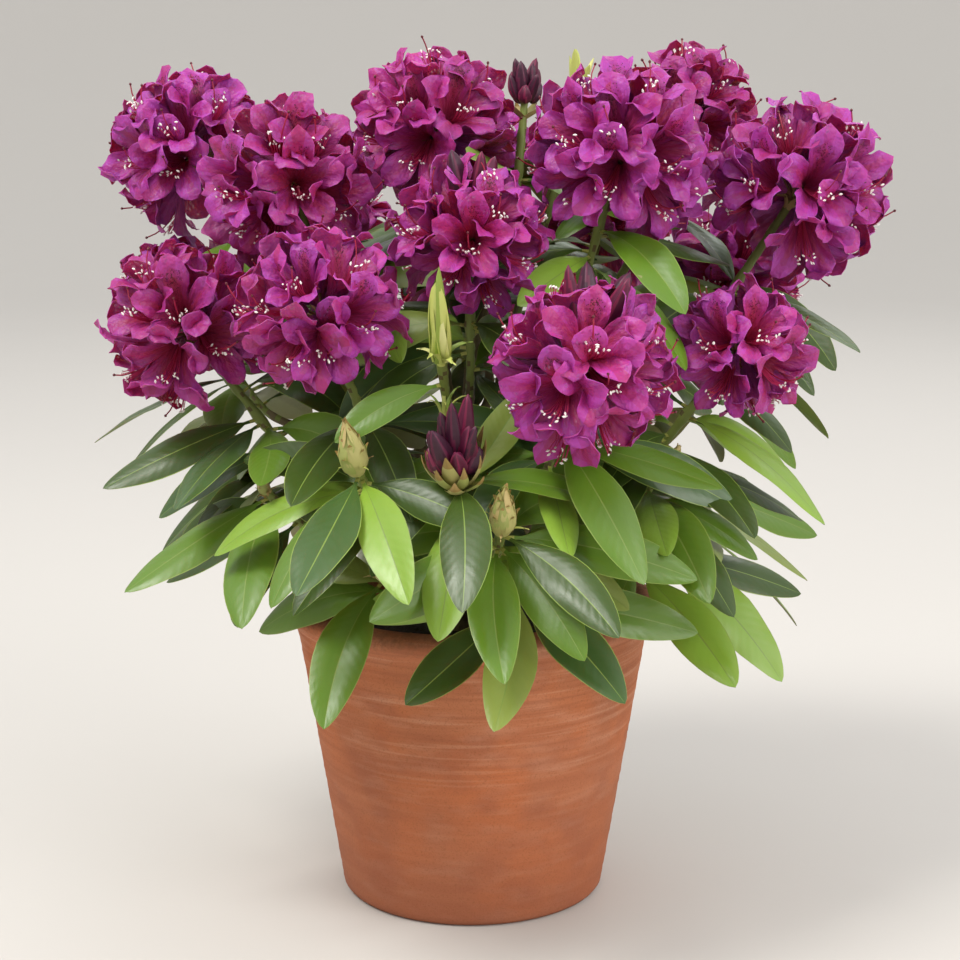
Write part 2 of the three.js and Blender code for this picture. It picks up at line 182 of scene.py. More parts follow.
# The flowers: how many in a 60 mm head, and one flower's profile (radius, height) there
FLOWERS = 18
FLOWERS_CAP = 126
HEAD_SEED = 1000
HEAD_UNIT = 60
FLOWER_FOOT = 13
FLOWER_PROFILE = [(1.6, 0), (4.5, 10), (8, 20), (14, 29), (23, 38), (31, 37)]
LOBES = 5
LOBE_ANGLE = 360 / LOBES
LOBE_COLUMNS = 12
FLOWER_ROWS = np.array([0, 0.25, 0.42, 0.56, 0.68, 0.79, 0.88, 0.95, 1])
BACK_ROWS = [8, 7, 6, 5, 4, 3, 2, 0]
NOTCH = 0.46
RUFFLE = 1.8
LOBE_OVERLAP = 13
LOBE_TILT = 2.2
UPPER_LOBE_GROWTH = 0.06
PETAL_THICKNESS = 0.4
SPECKLES = 110
SPECKLE_LENGTH = 0.011
SPECKLE_WIDTH = 0.024
STAMENS = 10
STAMEN_REACH = (32, 41)
STYLE_REACH = (44, 49)
TINT_SHARES = [0.7, 0.2, 0.1]
LATE_BUDS = {"truss_front_right": (38, 150), "truss_centre": (30, -172)}
LATE_ROOM = 0.93

# Buds and young leaves: how far they turn up, and the size of a head below which they are loose
BUD_RISE = 0.8
LOOSE_SIZE = 45
CLUSTER_BUDS = 13
BUD_ROWS = 11
BUD_SIDES = 20
BUD_SCALES = 20
SCALE_COLUMNS = np.array([-1, -0.5, 0, 0.5, 1, 0.5, 0, -0.5])
SCALE_TOPS = 5
SCALE_ROWS = 9
YOUNG_ROWS = 14

# Each bough: name, bearing, reach and height of its tip. Bearing 0 is the front, 90 the right.
BOUGHS = [
    ("front", 0, 72, 264),
    ("front_right", 40, 66, 300),
    ("right", 82, 74, 288),
    ("right_back", 124, 70, 300),
    ("back", 168, 68, 292),
    ("back_left", -150, 70, 292),
    ("left", -112, 76, 300),
    ("left_front", -72, 74, 286),
    ("front_left", -36, 84, 272),
    ("centre", -170, 16, 318),
]

# Each shoot: name, bough, what it carries, bearing, reach and height of its head, the head's
# size, and its whorl of leaves: how many, how far below the head, and how far it is turned.
SHOOTS = [
    ("truss_left_top", "left", "truss", -113, 207, 490, 64, 7, 64, 10),
    ("truss_left_upper", "left_front", "truss", -75, 119, 476, 64, 6, 62, 40),
    ("truss_left_low", "left_front", "truss", -72, 188, 388, 58, 9, 74, 0),
    ("truss_front_left", "front_left", "truss", -37, 150, 405, 58, 8, 78, 20),
    ("truss_centre_top", "centre", "truss", -141, 39, 506, 60, 6, 58, 30),
    ("truss_centre", "centre", "truss", -1, 80, 446, 52, 7, 54, 0),
    ("truss_right_upper", "front_right", "truss", 61, 105, 497, 65, 8, 50, 15),
    ("truss_back_right_top", "right_back", "truss", 124, 180, 516, 51, 6, 56, 0),
    ("truss_right_top", "right", "truss", 90, 210, 469, 66, 8, 68, 25),
    ("truss_front_right", "front_right", "truss", 22, 173, 378, 62, 8, 56, 12),
    ("truss_right_low", "right", "truss", 66, 182, 378, 50, 8, 56, 0),
    ("truss_back_low", "back", "truss", -178, 190, 395, 56, 8, 60, 0),
    ("truss_back_right", "back", "truss", 152, 200, 430, 56, 7, 60, 20),
    ("truss_back_left", "back_left", "truss", -148, 205, 425, 57, 7, 60, 35),
    ("truss_back_top", "centre", "truss", -178, 125, 480, 56, 7, 56, 10),
    ("truss_right_back_low", "right_back", "truss", 118, 205, 405, 55, 7, 60, 30),
    ("truss_left_back_low", "left", "truss", -112, 215, 385, 55, 7, 60, 15),
    ("buds_back_top", "centre", "buds", 150, 70, 527, 32, 5, 40, 0),
    ("buds_front", "front", "buds", -3, 170, 322, 46, 8, 14, 15),
    ("bud_front_left", "front_left", "bud", -23, 174, 318, 36, 6, 6, 0),
    ("bud_front_low", "front_right", "bud", 6, 171, 284, 34, 6, 6, 40),
    ("young_front", "front", "young", -7, 148, 384, 58, 0, 8, 0),
    ("young_back", "back", "young", 142, 114, 524, 44, 0, 8, 0),
    ("whorl_front", "front", "bud", 11, 153, 242, 14, 8, 5, -15),
    ("whorl_front_left", "front_left", "bud", -26, 127, 242, 14, 7, 5, 0),
    ("whorl_left_front", "left_front", "bud", -58, 153, 289, 14, 8, 5, 0),
    ("whorl_right_front", "front_right", "bud", 54, 154, 309, 14, 8, 5, 0),
    ("whorl_right_low", "right", "bud", 60, 140, 250, 14, 7, 5, 0),
    ("whorl_back", "back", "bud", 180, 150, 260, 14, 7, 5, 0),
    ("whorl_back_left", "back_left", "bud", -140, 150, 265, 14, 7, 5, 10),
    ("whorl_back_right", "right_back", "bud", 140, 150, 265, 14, 8, 5, 30),
    ("whorl_left", "left", "bud", -100, 135, 290, 14, 7, 5, 0),
    ("whorl_right", "right", "bud", 95, 150, 275, 14, 8, 5, 20),
]

# The photograph's camera, the floor and each soft light: place, size, power and colour
CAMERA_PLACE = (0.005, -1.434, 0.570)
CAMERA_PITCH = 11.45
CAMERA_LENS = 82.5
CAMERA_SENSOR = 36
FLOOR_REACH = 3.4
FLOOR_SWEEP = 2.4
FLOOR_SIDES = 96
FLOOR_RINGS = 12
SWEEP_RINGS = 24
SKY_COLOUR = (0.97, 0.98, 1.0, 1.0)
SKY_STRENGTH = 0.92
LIGHT_TARGET = (0, 0, 0.3)
LIGHTS = {
    "key": ((-1.3, -0.9, 2.7), 1.1, 62, (1.0, 0.98, 0.94)),
    "fill": ((2.0, -1.45, 1.5), 1.6, 39, (1.0, 0.98, 0.97)),
    "back": ((0.8, 2.0, 2.3), 1.8, 16, (1.0, 1.0, 1.0)),
}


# Directions and curves

def unit(vectors):
    """Vectors at a length of one."""
    return vectors / np.maximum(np.linalg.norm(vectors, axis=-1, keepdims=True), 1e-9)


def place(bearing, reach, height):
    """The point at a bearing, a reach from the Z axis and a height."""
    angle = math.radians(bearing)
    return np.array([reach * math.sin(angle), -reach * math.cos(angle), height])


def aim(axis, angle, turn):
    """A direction at an angle from an axis, turned round it from its downhill side."""
    downhill = unit(axis * axis[2] - UP)
    away = math.radians(angle)
    turned = math.radians(turn)
    across = downhill * math.cos(turned) + np.cross(axis, downhill) * math.sin(turned)
    return axis * math.cos(away) + across * math.sin(away)


def spiral(axis, count, cap, start):
    """Directions spread evenly over a cap about an axis, round and round by the golden angle."""
    for i in range(count):
        height = 1 - (1 - math.cos(math.radians(cap))) * (i + 0.5) / count
        yield aim(axis, math.degrees(math.acos(height)), start + i * GOLDEN_ANGLE)


def spokes(axis, count, start):
    """Directions square to an axis, round and round by the golden angle."""
    for way in spiral(axis, count, 90, start):
        yield unit(way - axis * np.dot(way, axis) + TINY)


def bezier(controls, share):
    """Points on a Bézier curve with any number of control points."""
    points = np.asarray(controls, float)[:, None, :] * np.ones((1, len(share), 1))
    while len(points) > 1:
        points = points[:-1] * (1 - share)[:, None] + points[1:] * share[:, None]
    return points[0]


def even_path(points, count):
    """Points evenly spaced along a path."""
    steps = np.linalg.norm(np.diff(points, axis=0), axis=1)
    along = np.concatenate([[0], np.cumsum(steps)])
    at = np.linspace(0, along[-1], count)
    return np.stack([np.interp(at, along, points[:, i]) for i in range(points.shape[1])], axis=1)


def curve_path(controls, count):
    """Points evenly spaced along a Bézier curve."""
    return even_path(bezier(controls, np.linspace(0, 1, CURVE_SAMPLES)), count)


def smooth_step(share):
    """A share from 0 to 1, eased at both ends."""
    held = np.clip(share, 0, 1)
    return held * held * (3 - 2 * held)


def seeded_random(seed):
    """The source's stream of random numbers between 0 and 1."""
    mask = 0xFFFFFFFF
    state = seed

    def draw():
        nonlocal state
        state = (state + 0x6D2B79F5) & mask
        bits = ((state ^ (state >> 15)) * (state | 1)) & mask
        bits ^= (bits + (((bits ^ (bits >> 7)) * (bits | 61)) & mask)) & mask
        return (bits ^ (bits >> 14)) / 2**32

    return draw


# Meshes from grids of points

def grid_faces(rows, columns, wrap):
    """Four-cornered faces of a grid of points; wrap joins its last column to its first."""
    row, column = np.meshgrid(np.arange(rows - 1), np.arange(columns if wrap else columns - 1),
                              indexing="ij")
    a = row * columns + column
    b = row * columns + (column + 1) % columns
    return np.stack([a, b, b + columns, a + columns], axis=-1).reshape(-1, 4)


def faces_out(points, faces):
    """The faces of a closed shape, turned so that they face outwards."""
    centred = points - points.mean(axis=0)
    a, b, c, d = (centred[faces[:, i]] for i in range(4))
    volume = np.einsum("ij,ij->", a, np.cross(b, c)) + np.einsum("ij,ij->", a, np.cross(c, d))
    return faces if volume > 0 else faces[:, ::-1]


class Heap:
    """Loose shapes of one kind, which become a few joined pieces."""

    def __init__(self, name, slot, materials):
        self.name = name
        self.slot = slot
        self.materials = materials
        self.shapes = []

    def add(self, rings, kinds=0, wrap=True, marks=None):
        """Adds a grid of points, with a material's number for each face or for all of them.

        Marks say how far across and along a blade each point is, and the phase of its side
        veins, for their relief.
        """
        rows, columns = rings.shape[:2]
        points = rings.reshape(-1, 3)
        faces = grid_faces(rows, columns, wrap)
        kinds = np.broadcast_to(kinds, (rows - 1, columns if wrap else columns - 1)).reshape(-1)
        if wrap:
            faces = faces_out(points, faces)
        marks = np.zeros((len(points), 3)) if marks is None else marks.reshape(-1, 3)
        self.shapes.append((points, faces, kinds, marks))

    def pieces(self):
        """Joins the shapes into pieces of fewer triangles than the limit."""
        batches = [[]]
        triangles = 0
        for shape in self.shapes:
            triangles += 2 * len(shape[1])
            if triangles > PIECE_LIMIT:
                batches.append([])
                triangles = 2 * len(shape[1])
            batches[-1].append(shape)
        for number, batch in enumerate(batches, 1):
            starts = np.cumsum([0] + [len(shape[0]) for shape in batch[:-1]])
            faces = np.concatenate([shape[1] + start for shape, start in zip(batch, starts)])
            points, kinds, marks = (np.concatenate([shape[i] for shape in batch]) for i in (0, 2, 3))
            name = self.name if len(batches) == 1 else f"{self.name}_{number}"
            yield make_piece(name, self.slot, points, faces, kinds, marks, self.materials)


def make_piece(name, slot, points, faces, kinds, marks, materials):
    """A smooth mesh that rides on the plant's one body."""
    mesh = bpy.data.meshes.new(name)
    mesh.vertices.add(len(points))
    mesh.vertices.foreach_set("co", (points * MM).astype(np.float32).ravel())
    mesh.loops.add(faces.size)
    mesh.loops.foreach_set("vertex_index", faces.astype(np.int32).ravel())
    mesh.polygons.add(len(faces))
    mesh.polygons.foreach_set("loop_start", np.arange(0, faces.size, 4, dtype=np.int32))
    mesh.polygons.foreach_set("material_index", kinds.astype(np.int32))
    mesh.polygons.foreach_set("use_smooth", np.ones(len(faces), bool))
    mesh.update(calc_edges=True)
    mesh.set_sharp_from_angle(angle=math.radians(SHARP_ANGLE))
    mesh.attributes.new("blade", "FLOAT_VECTOR", "POINT").data.foreach_set("vector", marks.ravel())
    for material in materials:
        mesh.materials.append(material)
    piece = add_object(name, mesh)
    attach(piece, "root")
    return piece


def add_object(name, data):
    """An object in the scene."""
    thing = bpy.data.objects.new(name, data)
    bpy.context.scene.collection.objects.link(thing)
    return thing


def turns_of(sides):
    """The angles of a ring's sides."""
    return np.arange(sides) * 2 * math.pi / sides


def tube(path, radii, sides):
    """Rings of points round a path, at one radius a point or one for each side of each ring."""
    tangents = unit(np.gradient(path, axis=0))
    start = UP if abs(tangents[0][2]) < 0.9 else np.array([1.0, 0, 0])
    across = [unit(np.cross(tangents[0], start))]
    for tangent in tangents[1:]:
        across.append(unit(across[-1] - tangent * np.dot(across[-1], tangent)))
    across = np.array(across)
    over = np.cross(tangents, across)
    angles = turns_of(sides)
    ways = across[:, None] * np.cos(angles)[None, :, None]
    ways = ways + over[:, None] * np.sin(angles)[None, :, None]
    radii = np.asarray(radii, float)
    radii = radii[:, None] * np.ones((1, sides)) if radii.ndim == 1 else radii
    return path[:, None] + ways * radii[..., None]


def point_ring(point, rings):
    """A ring with all its corners at one point, which closes an end of a tube."""
    return point + 0 * rings[:1]


def turned(profile, sides):
    """A profile of radius and height turned round the Z axis."""
    angles = turns_of(sides)
    radius, height = profile[:, 0, None], profile[:, 1, None]
    return np.stack([radius * np.cos(angles), radius * np.sin(angles),
                     height * np.ones((1, sides))], axis=-1)


def blade(path, face, half, columns, tops, height, thickness):
    """A thin closed blade along a path: each ring runs across its face and back beneath it.

    The columns are shares of the half width, and so many of them as tops says are on the face.
    Height lifts them as a share of the half width too.
    """
    tangents = unit(np.gradient(path, axis=0))
    side = unit(np.cross(face, tangents))
    normal = np.cross(tangents, side)
    beneath = np.arange(len(columns)) >= tops
    lift = height(columns)[None, :] * half[:, None] - thickness[:, None] * beneath[None, :]
    reach = half[:, None] * columns[None, :]
    return path[:, None] + side[:, None] * reach[..., None] + normal[:, None] * lift[..., None]


def roughen(rings, centre, size, length, stretch=1):
    """Moves points to and from a centre line by noise, which stretch draws out upwards."""
    points = rings.reshape(-1, 3)
    away = unit(rings - centre).reshape(-1, 3)
    grain = np.array([1, 1, 1 / stretch]) / length
    bumps = [noise.fractal(Vector(p), 1.0, 2.0, 4) for p in points * grain]
    return (points + away * size * np.array(bumps)[:, None]).reshape(rings.shape)


# Materials

def colour_of(code):
    """A colour of the screen, written #rrggbb, as linear light."""
    values = np.array([int(code[i:i + 2], 16) for i in (1, 3, 5)]) / 255
    linear = np.where(values <= 0.04045, values / 12.92, ((values + 0.055) / 1.055) ** 2.4)
    return (*linear, 1.0)


def new_material(name, colour, roughness, **sockets):
    """A material with a plain base colour; sockets are other values of its shader."""
    material = bpy.data.materials.new(name)
    material.use_nodes = True
    inputs = material.node_tree.nodes["Principled BSDF"].inputs
    inputs["Base Color"].default_value = colour_of(colour)
    inputs["Roughness"].default_value = roughness
    for socket, value in sockets.items():
        inputs[socket.replace("_", " ")].default_value = value
    return material


def shader_input(value, name):
    """A socket of the shader in whose material a value is made."""
    return value.id_data.nodes["Principled BSDF"].inputs[name]


def add_node(tree, kind, values=(), **settings):
    """A node of a material's tree, with values on its sockets and settings of its own."""
    node = tree.nodes.new(kind)
    for name, value in settings.items():
        setattr(node, name, value)
    for socket, value in dict(values).items():
        node.inputs[socket].default_value = value
    return node


def link(start, end):
    """Links a socket of one node to a socket of another."""
    end.id_data.links.new(start, end)


def add_texture(position, kind, values, stretch=None, **settings):
    """A texture over a position, which may be stretched first."""
    if stretch:
        mapping = add_node(position.id_data, "ShaderNodeMapping", {"Scale": stretch})
        link(position, mapping.inputs["Vector"])
        position = mapping.outputs["Vector"]
    texture = add_node(position.id_data, kind, values, **settings)
    link(position, texture.inputs["Vector"])
    return texture.outputs["Fac"]


def own_place(material):
    """Where a point is in the object's own space."""
    return add_node(material.node_tree, "ShaderNodeTexCoord").outputs["Object"]


def noise_of(material, scale, detail, stretch=(1, 1, 1)):
    """Noise over the object's own space, whose scale is in waves a metre."""
    values = {"Scale": scale, "Detail": detail}
    return add_texture(own_place(material), "ShaderNodeTexNoise", values, stretch)


def blade_marks(material):
    """How far across and along a blade a point is, and the phase of its side veins."""
    node = add_node(material.node_tree, "ShaderNodeAttribute", attribute_name="blade")
    return node.outputs["Vector"]


def remap(value, low, high, to_low, to_high):
    """A value moved from one range to another, and held inside it."""
    node = add_node(value.id_data, "ShaderNodeMapRange", {
        "From Min": low, "From Max": high, "To Min": to_low, "To Max": to_high})
    link(value, node.inputs["Value"])
    return node.outputs["Result"]


def multiply(first, second):
    """Two values multiplied."""
    node = add_node(first.id_data, "ShaderNodeMath", operation="MULTIPLY")
    link(first, node.inputs[0])
    link(second, node.inputs[1])
    return node.outputs["Value"]


def mix_colour(share, first, second):
    """Two colours mixed by a share; a colour is a code or another node's output."""
    node = add_node(share.id_data, "ShaderNodeMix", data_type="RGBA")
    link(share, node.inputs["Factor"])
    for socket, colour in ((node.inputs[6], first), (node.inputs[7], second)):
        if isinstance(colour, str):
            socket.default_value = colour_of(colour)
        else:
            link(colour, socket)
    return node.outputs[2]


def stain(under, value, low, high, most, colour):
    """A colour laid over another where a value passes from low to high, at most so strongly."""
    return mix_colour(remap(value, low, high, 0, most), under, colour)


def add_relief(height, strength, distance):
    """Bumps a surface by a height, over any relief that it already has."""
    normal = shader_input(height, "Normal")
    bump = add_node(height.id_data, "ShaderNodeBump", {"Strength": strength, "Distance": distance})
    link(height, bump.inputs["Height"])
    if normal.is_linked:
        link(normal.links[0].from_socket, bump.inputs["Normal"])
    link(bump.outputs["Normal"], normal)


def blade_relief(material, stretch, scale, strength, distance):
    """Relief laid out by how far across and along a blade a point is."""
    height = add_texture(blade_marks(material), "ShaderNodeTexNoise", {"Scale": scale}, stretch)
    add_relief(height, strength, distance)


def vary_roughness(height, low, high):
    """Spreads the roughness between two values."""
    link(remap(height, 0.3, 0.7, low, high), shader_input(height, "Roughness"))


def petal_material(name, colour):
    """A petal's satin surface, wrinkled and finely veined along its lobes."""
    material = new_material(name, colour, 0.5, Specular_IOR_Level=0.4,
                            Subsurface_Weight=0.2, Subsurface_Scale=0.006)
    grain = noise_of(material, 420, 3)
    add_relief(grain, 0.2, 0.0006)
    blade_relief(material, (1.1, 2.4, 1), 3.0, 0.55, 0.0035)
    blade_relief(material, (4, 3, 1), 2.2, 0.15, 0.0012)
    vary_roughness(grain, 0.42, 0.6)
    return material


def leaf_material(name, colour, roughness):
    """A leathery leaf surface with side veins, a little uneven in gloss and relief."""
    material = new_material(name, colour, roughness, Specular_IOR_Level=0.52,
                            Subsurface_Weight=0.05, Subsurface_Scale=0.003)
    grain = noise_of(material, 40, 3)
    add_relief(noise_of(material, 700, 2), 0.15, 0.0003)
    blade_relief(material, (2.2, 6, 1), 1.4, 0.11, 0.0012)
    veins = add_texture(blade_marks(material), "ShaderNodeTexWave",
                        {"Scale": 1.0, "Distortion": 1.5, "Detail": 1.0}, bands_direction="Z")
    add_relief(veins, 0.09, 0.0005)
    vary_roughness(grain, roughness - 0.08, roughness + 0.12)
    return material


def organ_material(name, colour, roughness):
    """Stalks, stamens, scales and buds."""
    material = new_material(name, colour, roughness)
    grain = noise_of(material, 300, 3)
    add_relief(grain, 0.3, 0.0005)
    vary_roughness(grain, roughness - 0.08, roughness + 0.1)
    return material


def soil_material(name, colour):
    """Moist potting soil."""
    material = new_material(name, colour, 0.92)
    grain = noise_of(material, 500, 6)
    add_relief(grain, 0.8, 0.002)
    vary_roughness(grain, 0.8, 0.97)
    return material


def terracotta_material():
    """Fired clay: throwing bands, pale bloom, painted shade of a darker brown that deepens towards the
    foot, and a weathered rim.
    """
    material = new_material("terracotta", "#b06a45", 0.85, Specular_IOR_Level=0.3)
    bands = noise_of(material, 14, 5, (0.4, 0.4, 7))
    patches = noise_of(material, 16, 8)
    smudges = noise_of(material, 24, 8, (1, 1, 1.4))
    bloom = noise_of(material, 50, 10, (0.6, 0.6, 2))
    lines = noise_of(material, 14, 7, (0.8, 0.8, 24))
    grain = noise_of(material, 900, 3)
    pits = noise_of(material, 260, 4)
    axes = add_node(material.node_tree, "ShaderNodeSeparateXYZ")
    link(own_place(material), axes.inputs["Vector"])
    height = axes.outputs["Z"]
    clay = stain("#ad6846", bands, 0.4, 0.62, 1, "#b9734f")
    clay = stain(clay, patches, 0.45, 0.6, 0.6, "#c26e41")
    clay = stain(clay, smudges, 0.5, 0.66, 0.42, "#925640")
    clay = stain(clay, bloom, 0.5, 0.75, 0.2, "#d4a88f")
    for low, high, colour in ((0.54, 0.68, "#cf9a7a"), (0.46, 0.34, "#985a3e")):
        line = multiply(remap(height, 0.07, 0.15, 0.08, 0.42), remap(lines, low, high, 0, 1))
        clay = mix_colour(line, clay, colour)
    # Painted shade: the lower pot is darkened towards its foot.
    clay = mix_colour(remap(height, 0.0, 0.13, 0.62, 0), clay, "#93573f")
    weather = multiply(remap(height, 0.188, 0.197, 0, 0.7), remap(pits, 0.42, 0.62, 0.1, 1))
    clay = mix_colour(weather, clay, "#8f5f44")
    clay = stain(clay, grain, 0.52, 0.72, 0.45, "#84502f")
    link(clay, shader_input(clay, "Base Color"))
    add_relief(bands, 0.2, 0.0012)
    add_relief(lines, 0.2, 0.0005)
    add_relief(pits, 0.35, 0.0009)
    add_relief(grain, 0.35, 0.0004)
    vary_roughness(patches, 0.78, 0.93)
    return material


def bark_material():
    """Grey-brown bark with fissures along the limb."""
    material = new_material("bark", "#6d6045", 0.85)
    fissures = noise_of(material, 170, 6, (1, 1, 0.3))
    patches = noise_of(material, 45, 4)
    bark = stain("#4a3d2b", fissures, 0.38, 0.62, 1, "#7f7254")
    bark = stain(bark, patches, 0.5, 0.7, 0.5, "#8b8a63")
    link(bark, shader_input(bark, "Base Color"))
    add_relief(fissures, 0.7, 0.0015)
    vary_roughness(patches, 0.75, 0.92)
    return material


# Petal colours from the throat out to the rim, then the paler edge of a lighter lobe, partly its own
# paler margin and partly a painted highlight where the rim curls, and the outer side
PETAL_TINTS = {
    "magenta": ["#a62c5a", "#a82c68", "#a62a72", "#aa2e82", "#ae3894", "#b64aa2", "#a03c86"],
    "purple": ["#9c285c", "#a02a68", "#9c2876", "#a02e88", "#a63a9a", "#ae4caa", "#963c88"],
    "wine": ["#98264c", "#9c2858", "#982566", "#9c2a76", "#a03486", "#a84692", "#903472"],
}
PETAL_STEPS = 7
PETAL_RIM, PALE_EDGE_AND_HIGHLIGHT, PETAL_BACK = 4, 5, 6
PETALS = [petal_material(f"petal_{tint}_{step}", code)
          for tint, codes in PETAL_TINTS.items() for step, code in enumerate(codes)]
SPECKLE = len(PETALS)
PETALS.append(petal_material("petal_speckle", "#520c26"))

# Leaf materials: greens of the upper side, the last for young leaves, two of the underside, and
# the midrib, rim and stalk
LEAVES = [leaf_material(f"leaf_top_{i}", code, 0.36)
          for i, code in enumerate(["#3a5118", "#5c7e20", "#80a236", "#7f903e", "#3f5c28", "#b4c05c"])]
LEAF_BACK = len(LEAVES)
YOUNG_TOP = LEAF_BACK - 1
LEAVES += [leaf_material("leaf_back_0", "#788a48", 0.55), leaf_material("leaf_back_1", "#868a54", 0.55)]
MIDRIB, LEAF_RIM, LEAF_STALK = range(len(LEAVES), len(LEAVES) + 3)
LEAVES += [leaf_material("leaf_midrib", "#748c3c", 0.42),
           leaf_material("leaf_rim", "#7f9640", 0.4),
           leaf_material("leaf_stalk", "#a3a552", 0.45)]

# The greens that leaves draw, as places in the list above, and how often they do
BLOSSOM_GREENS = [0, 1, 2, 3, 4], [0.38, 0.26, 0.14, 0.07, 0.15]
FRESH_GREENS = [0, 2, 1, 3, 4], [0.2, 0.18, 0.44, 0.08, 0.1]
OLD_GREENS = [0, 0, 1, 3, 4]

# Stalks, stamens, buds and young leaves: each material's colour and roughness
STALK_LOOKS = {
    "stem_green": ("#75823a", 0.55), "stem_brown": ("#6e6145", 0.75),
    "flower_stalk": ("#7f5a3c", 0.55), "scale_dry": ("#b59a62", 0.7),
    "scale_brown": ("#7d5a35", 0.7), "stem_scar": ("#5e5330", 0.8),
}
STEM_GREEN, STEM_BROWN, FLOWER_STALK, SCALE_DRY, SCALE_BROWN, STEM_SCAR = range(6)
STAMEN_LOOKS = {
    "filament": ("#c23564", 0.4), "anther": ("#f4eee8", 0.6),
    "style": ("#9c1f3c", 0.35), "stigma": ("#5d1420", 0.4),
}
FILAMENT, ANTHER, STYLE, STIGMA = range(4)
BUD_LOOKS = {
    "bud_dark": ("#3a1029", 0.5), "bud_maroon": ("#581034", 0.5), "bud_ridge_highlight": ("#7c1b42", 0.5),
    "bud_scale": ("#b6ae6c", 0.5), "bud_scale_tip": ("#9c8048", 0.6),
    "young_leaf": ("#c0c86a", 0.42), "young_leaf_pale": ("#dcdc92", 0.45),
    "young_leaf_green": ("#8ca345", 0.42),
    "bud_scale_tan": ("#c2ad72", 0.55), "bud_scale_green": ("#a2a75c", 0.5),
}
BUD_DARK, BUD_MAROON = 0, 1
BUD_SCALE, BUD_SCALE_TIP, YOUNG_LEAF, YOUNG_PALE, YOUNG_GREEN, SCALE_TAN, SCALE_GREEN = range(3, 10)
YOUNG_SHARES = [0.45, 0.4, 0.15]


def organ_heap(name, slot, looks):
    """A heap of small organs, with a material for each look."""
    return Heap(name, slot, [organ_material(kind, *look) for kind, look in looks.items()])


petals = Heap("petals", "blossom", PETALS)
foliage = Heap("foliage", "leaves", LEAVES)
twigs = organ_heap("twigs", "young_growth", STALK_LOOKS)
stamens = organ_heap("stamens", "blossom", STAMEN_LOOKS)
buds = organ_heap("buds", "young_growth", BUD_LOOKS)
# Points of the leaves made so far, from which the old leaves keep clear
leaf_points = []


# The pot and its soil

def wall_at(height):
    """The outer radius of the pot's straight wall."""
    return FOOT_RADIUS + WALL_SLOPE * height


def round_corners(profile, passes):
    """Cuts the corners of an open outline again and again until they are round."""
    points = np.array(profile, float)
    for _ in range(passes):
        near = points[:-1] * 0.75 + points[1:] * 0.25
        far = points[:-1] * 0.25 + points[1:] * 0.75
        middle = np.stack([near, far], axis=1).reshape(-1, 2)
        points = np.concatenate([points[:1], middle, points[-1:]])
    return points


def make_pot():
    """The pot, with the ridges that throwing leaves, a slight wobble and a worn rim."""
    rim_bottom = POT_HEIGHT - RIM_DROP
    profile = [(NEAR_AXIS, 0), (FOOT_RADIUS - FOOT_EDGE, 0)]
    profile += [(wall_at(height), height) for height in (FOOT_EDGE, 10, FLARE_START - 10, FLARE_START)]
    profile += [(RIM_RADIUS - inward, rim_bottom + up) for inward, up in RIM_SECTION]
    profile += [(wall_at(height) - WALL, height) for height in (SOIL_TOP, FLOOR)]
    profile += [(NEAR_AXIS, FLOOR)]
    rings = turned(even_path(round_corners(profile, 3), POT_ROWS), POT_SIDES)
    turn = np.arctan2(rings[..., 1], rings[..., 0])
    height = rings[..., 2]
    away = unit(rings * LEVEL)
    outside = np.linalg.norm(rings[..., :2], axis=-1) > wall_at(height) - 2
    wave = 2 * math.pi * (height + THROWING_RIDGE * turn / (2 * math.pi)) / THROWING_RIDGE
    ridge = 0.12 * np.sin(wave) + 0.1 * np.sin(0.37 * wave + 1)
    wobble = 0.35 * np.sin(2 * turn + 0.7) + 0.2 * np.sin(3 * turn + height / 60)
    rings = rings + away * (np.where(outside, ridge, 0) + wobble)[..., None]
    worn = roughen(rings, rings * 0.9, *RIM_WEAR)
    pot = Heap("pot_thrown", "terracotta", [terracotta_material()])
    pot.add(np.where((height > FLARE_START)[..., None], worn, rings))
    for piece in pot.pieces():
        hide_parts("pot")


def make_soil():
    """Crumbly soil with loose crumbs and chips of bark on top."""
    rng = np.random.default_rng(SOIL_SEED)
    edge = wall_at(SOIL_TOP - SOIL_FALL) - WALL - FIT
    mound = [(NEAR_AXIS, SOIL_TOP), (SOIL_FLAT, SOIL_TOP), (0.8 * edge, SOIL_TOP - 1),
             (edge - 1, SOIL_TOP - SOIL_FALL), (edge, SOIL_TOP - SOIL_FALL - 1)]
    bed = [(wall_at(FLOOR) - WALL - FIT, FLOOR + FIT), (NEAR_AXIS, FLOOR + FIT)]
    top = turned(even_path(np.array(mound), SOIL_ROWS), SOIL_SIDES)
    rough = roughen(top, top - UP * 40, *SOIL_RELIEF)
    top = np.where(rough[..., 2:] > SOIL_TOP + 0.2, top, rough)
    materials = [soil_material("soil", "#33271d"), soil_material("soil_crumb", "#4a3827"),
                 soil_material("bark_chip", "#6a4a30")]
    soil = Heap("soil_bed", "soil", materials)
    soil.add(np.concatenate([top, turned(np.array(bed), SOIL_SIDES)]))
    for _ in range(CRUMBS):
        reach = edge * math.sqrt(rng.uniform(0.06, 0.93))
        size = rng.uniform(*CRUMB_SIZES)
        centre = place(rng.uniform(0, 360), reach, SOIL_TOP - 0.6)
        lie = unit(rng.normal(size=3) * (1, 1, 0.3))
        path = centre + lie * np.linspace(-1, 1, 5)[:, None] * size * rng.uniform(1, 2)
        girth = size * np.array([0.05, 0.8, 1, 0.7, 0.05])[:, None] * rng.uniform(0.7, 1.2, (5, 6))
        soil.add(tube(path, 0.6 * girth, 6), rng.choice([1, 1, 2]))
    for piece in soil.pieces():
        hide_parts("soil")


# The trunk and boughs

trunk_foot = np.array([0, 0, SOIL_TOP + FIT])
trunk_top = np.array([*TRUNK_LEAN, SOIL_TOP + TRUNK_HEIGHT])


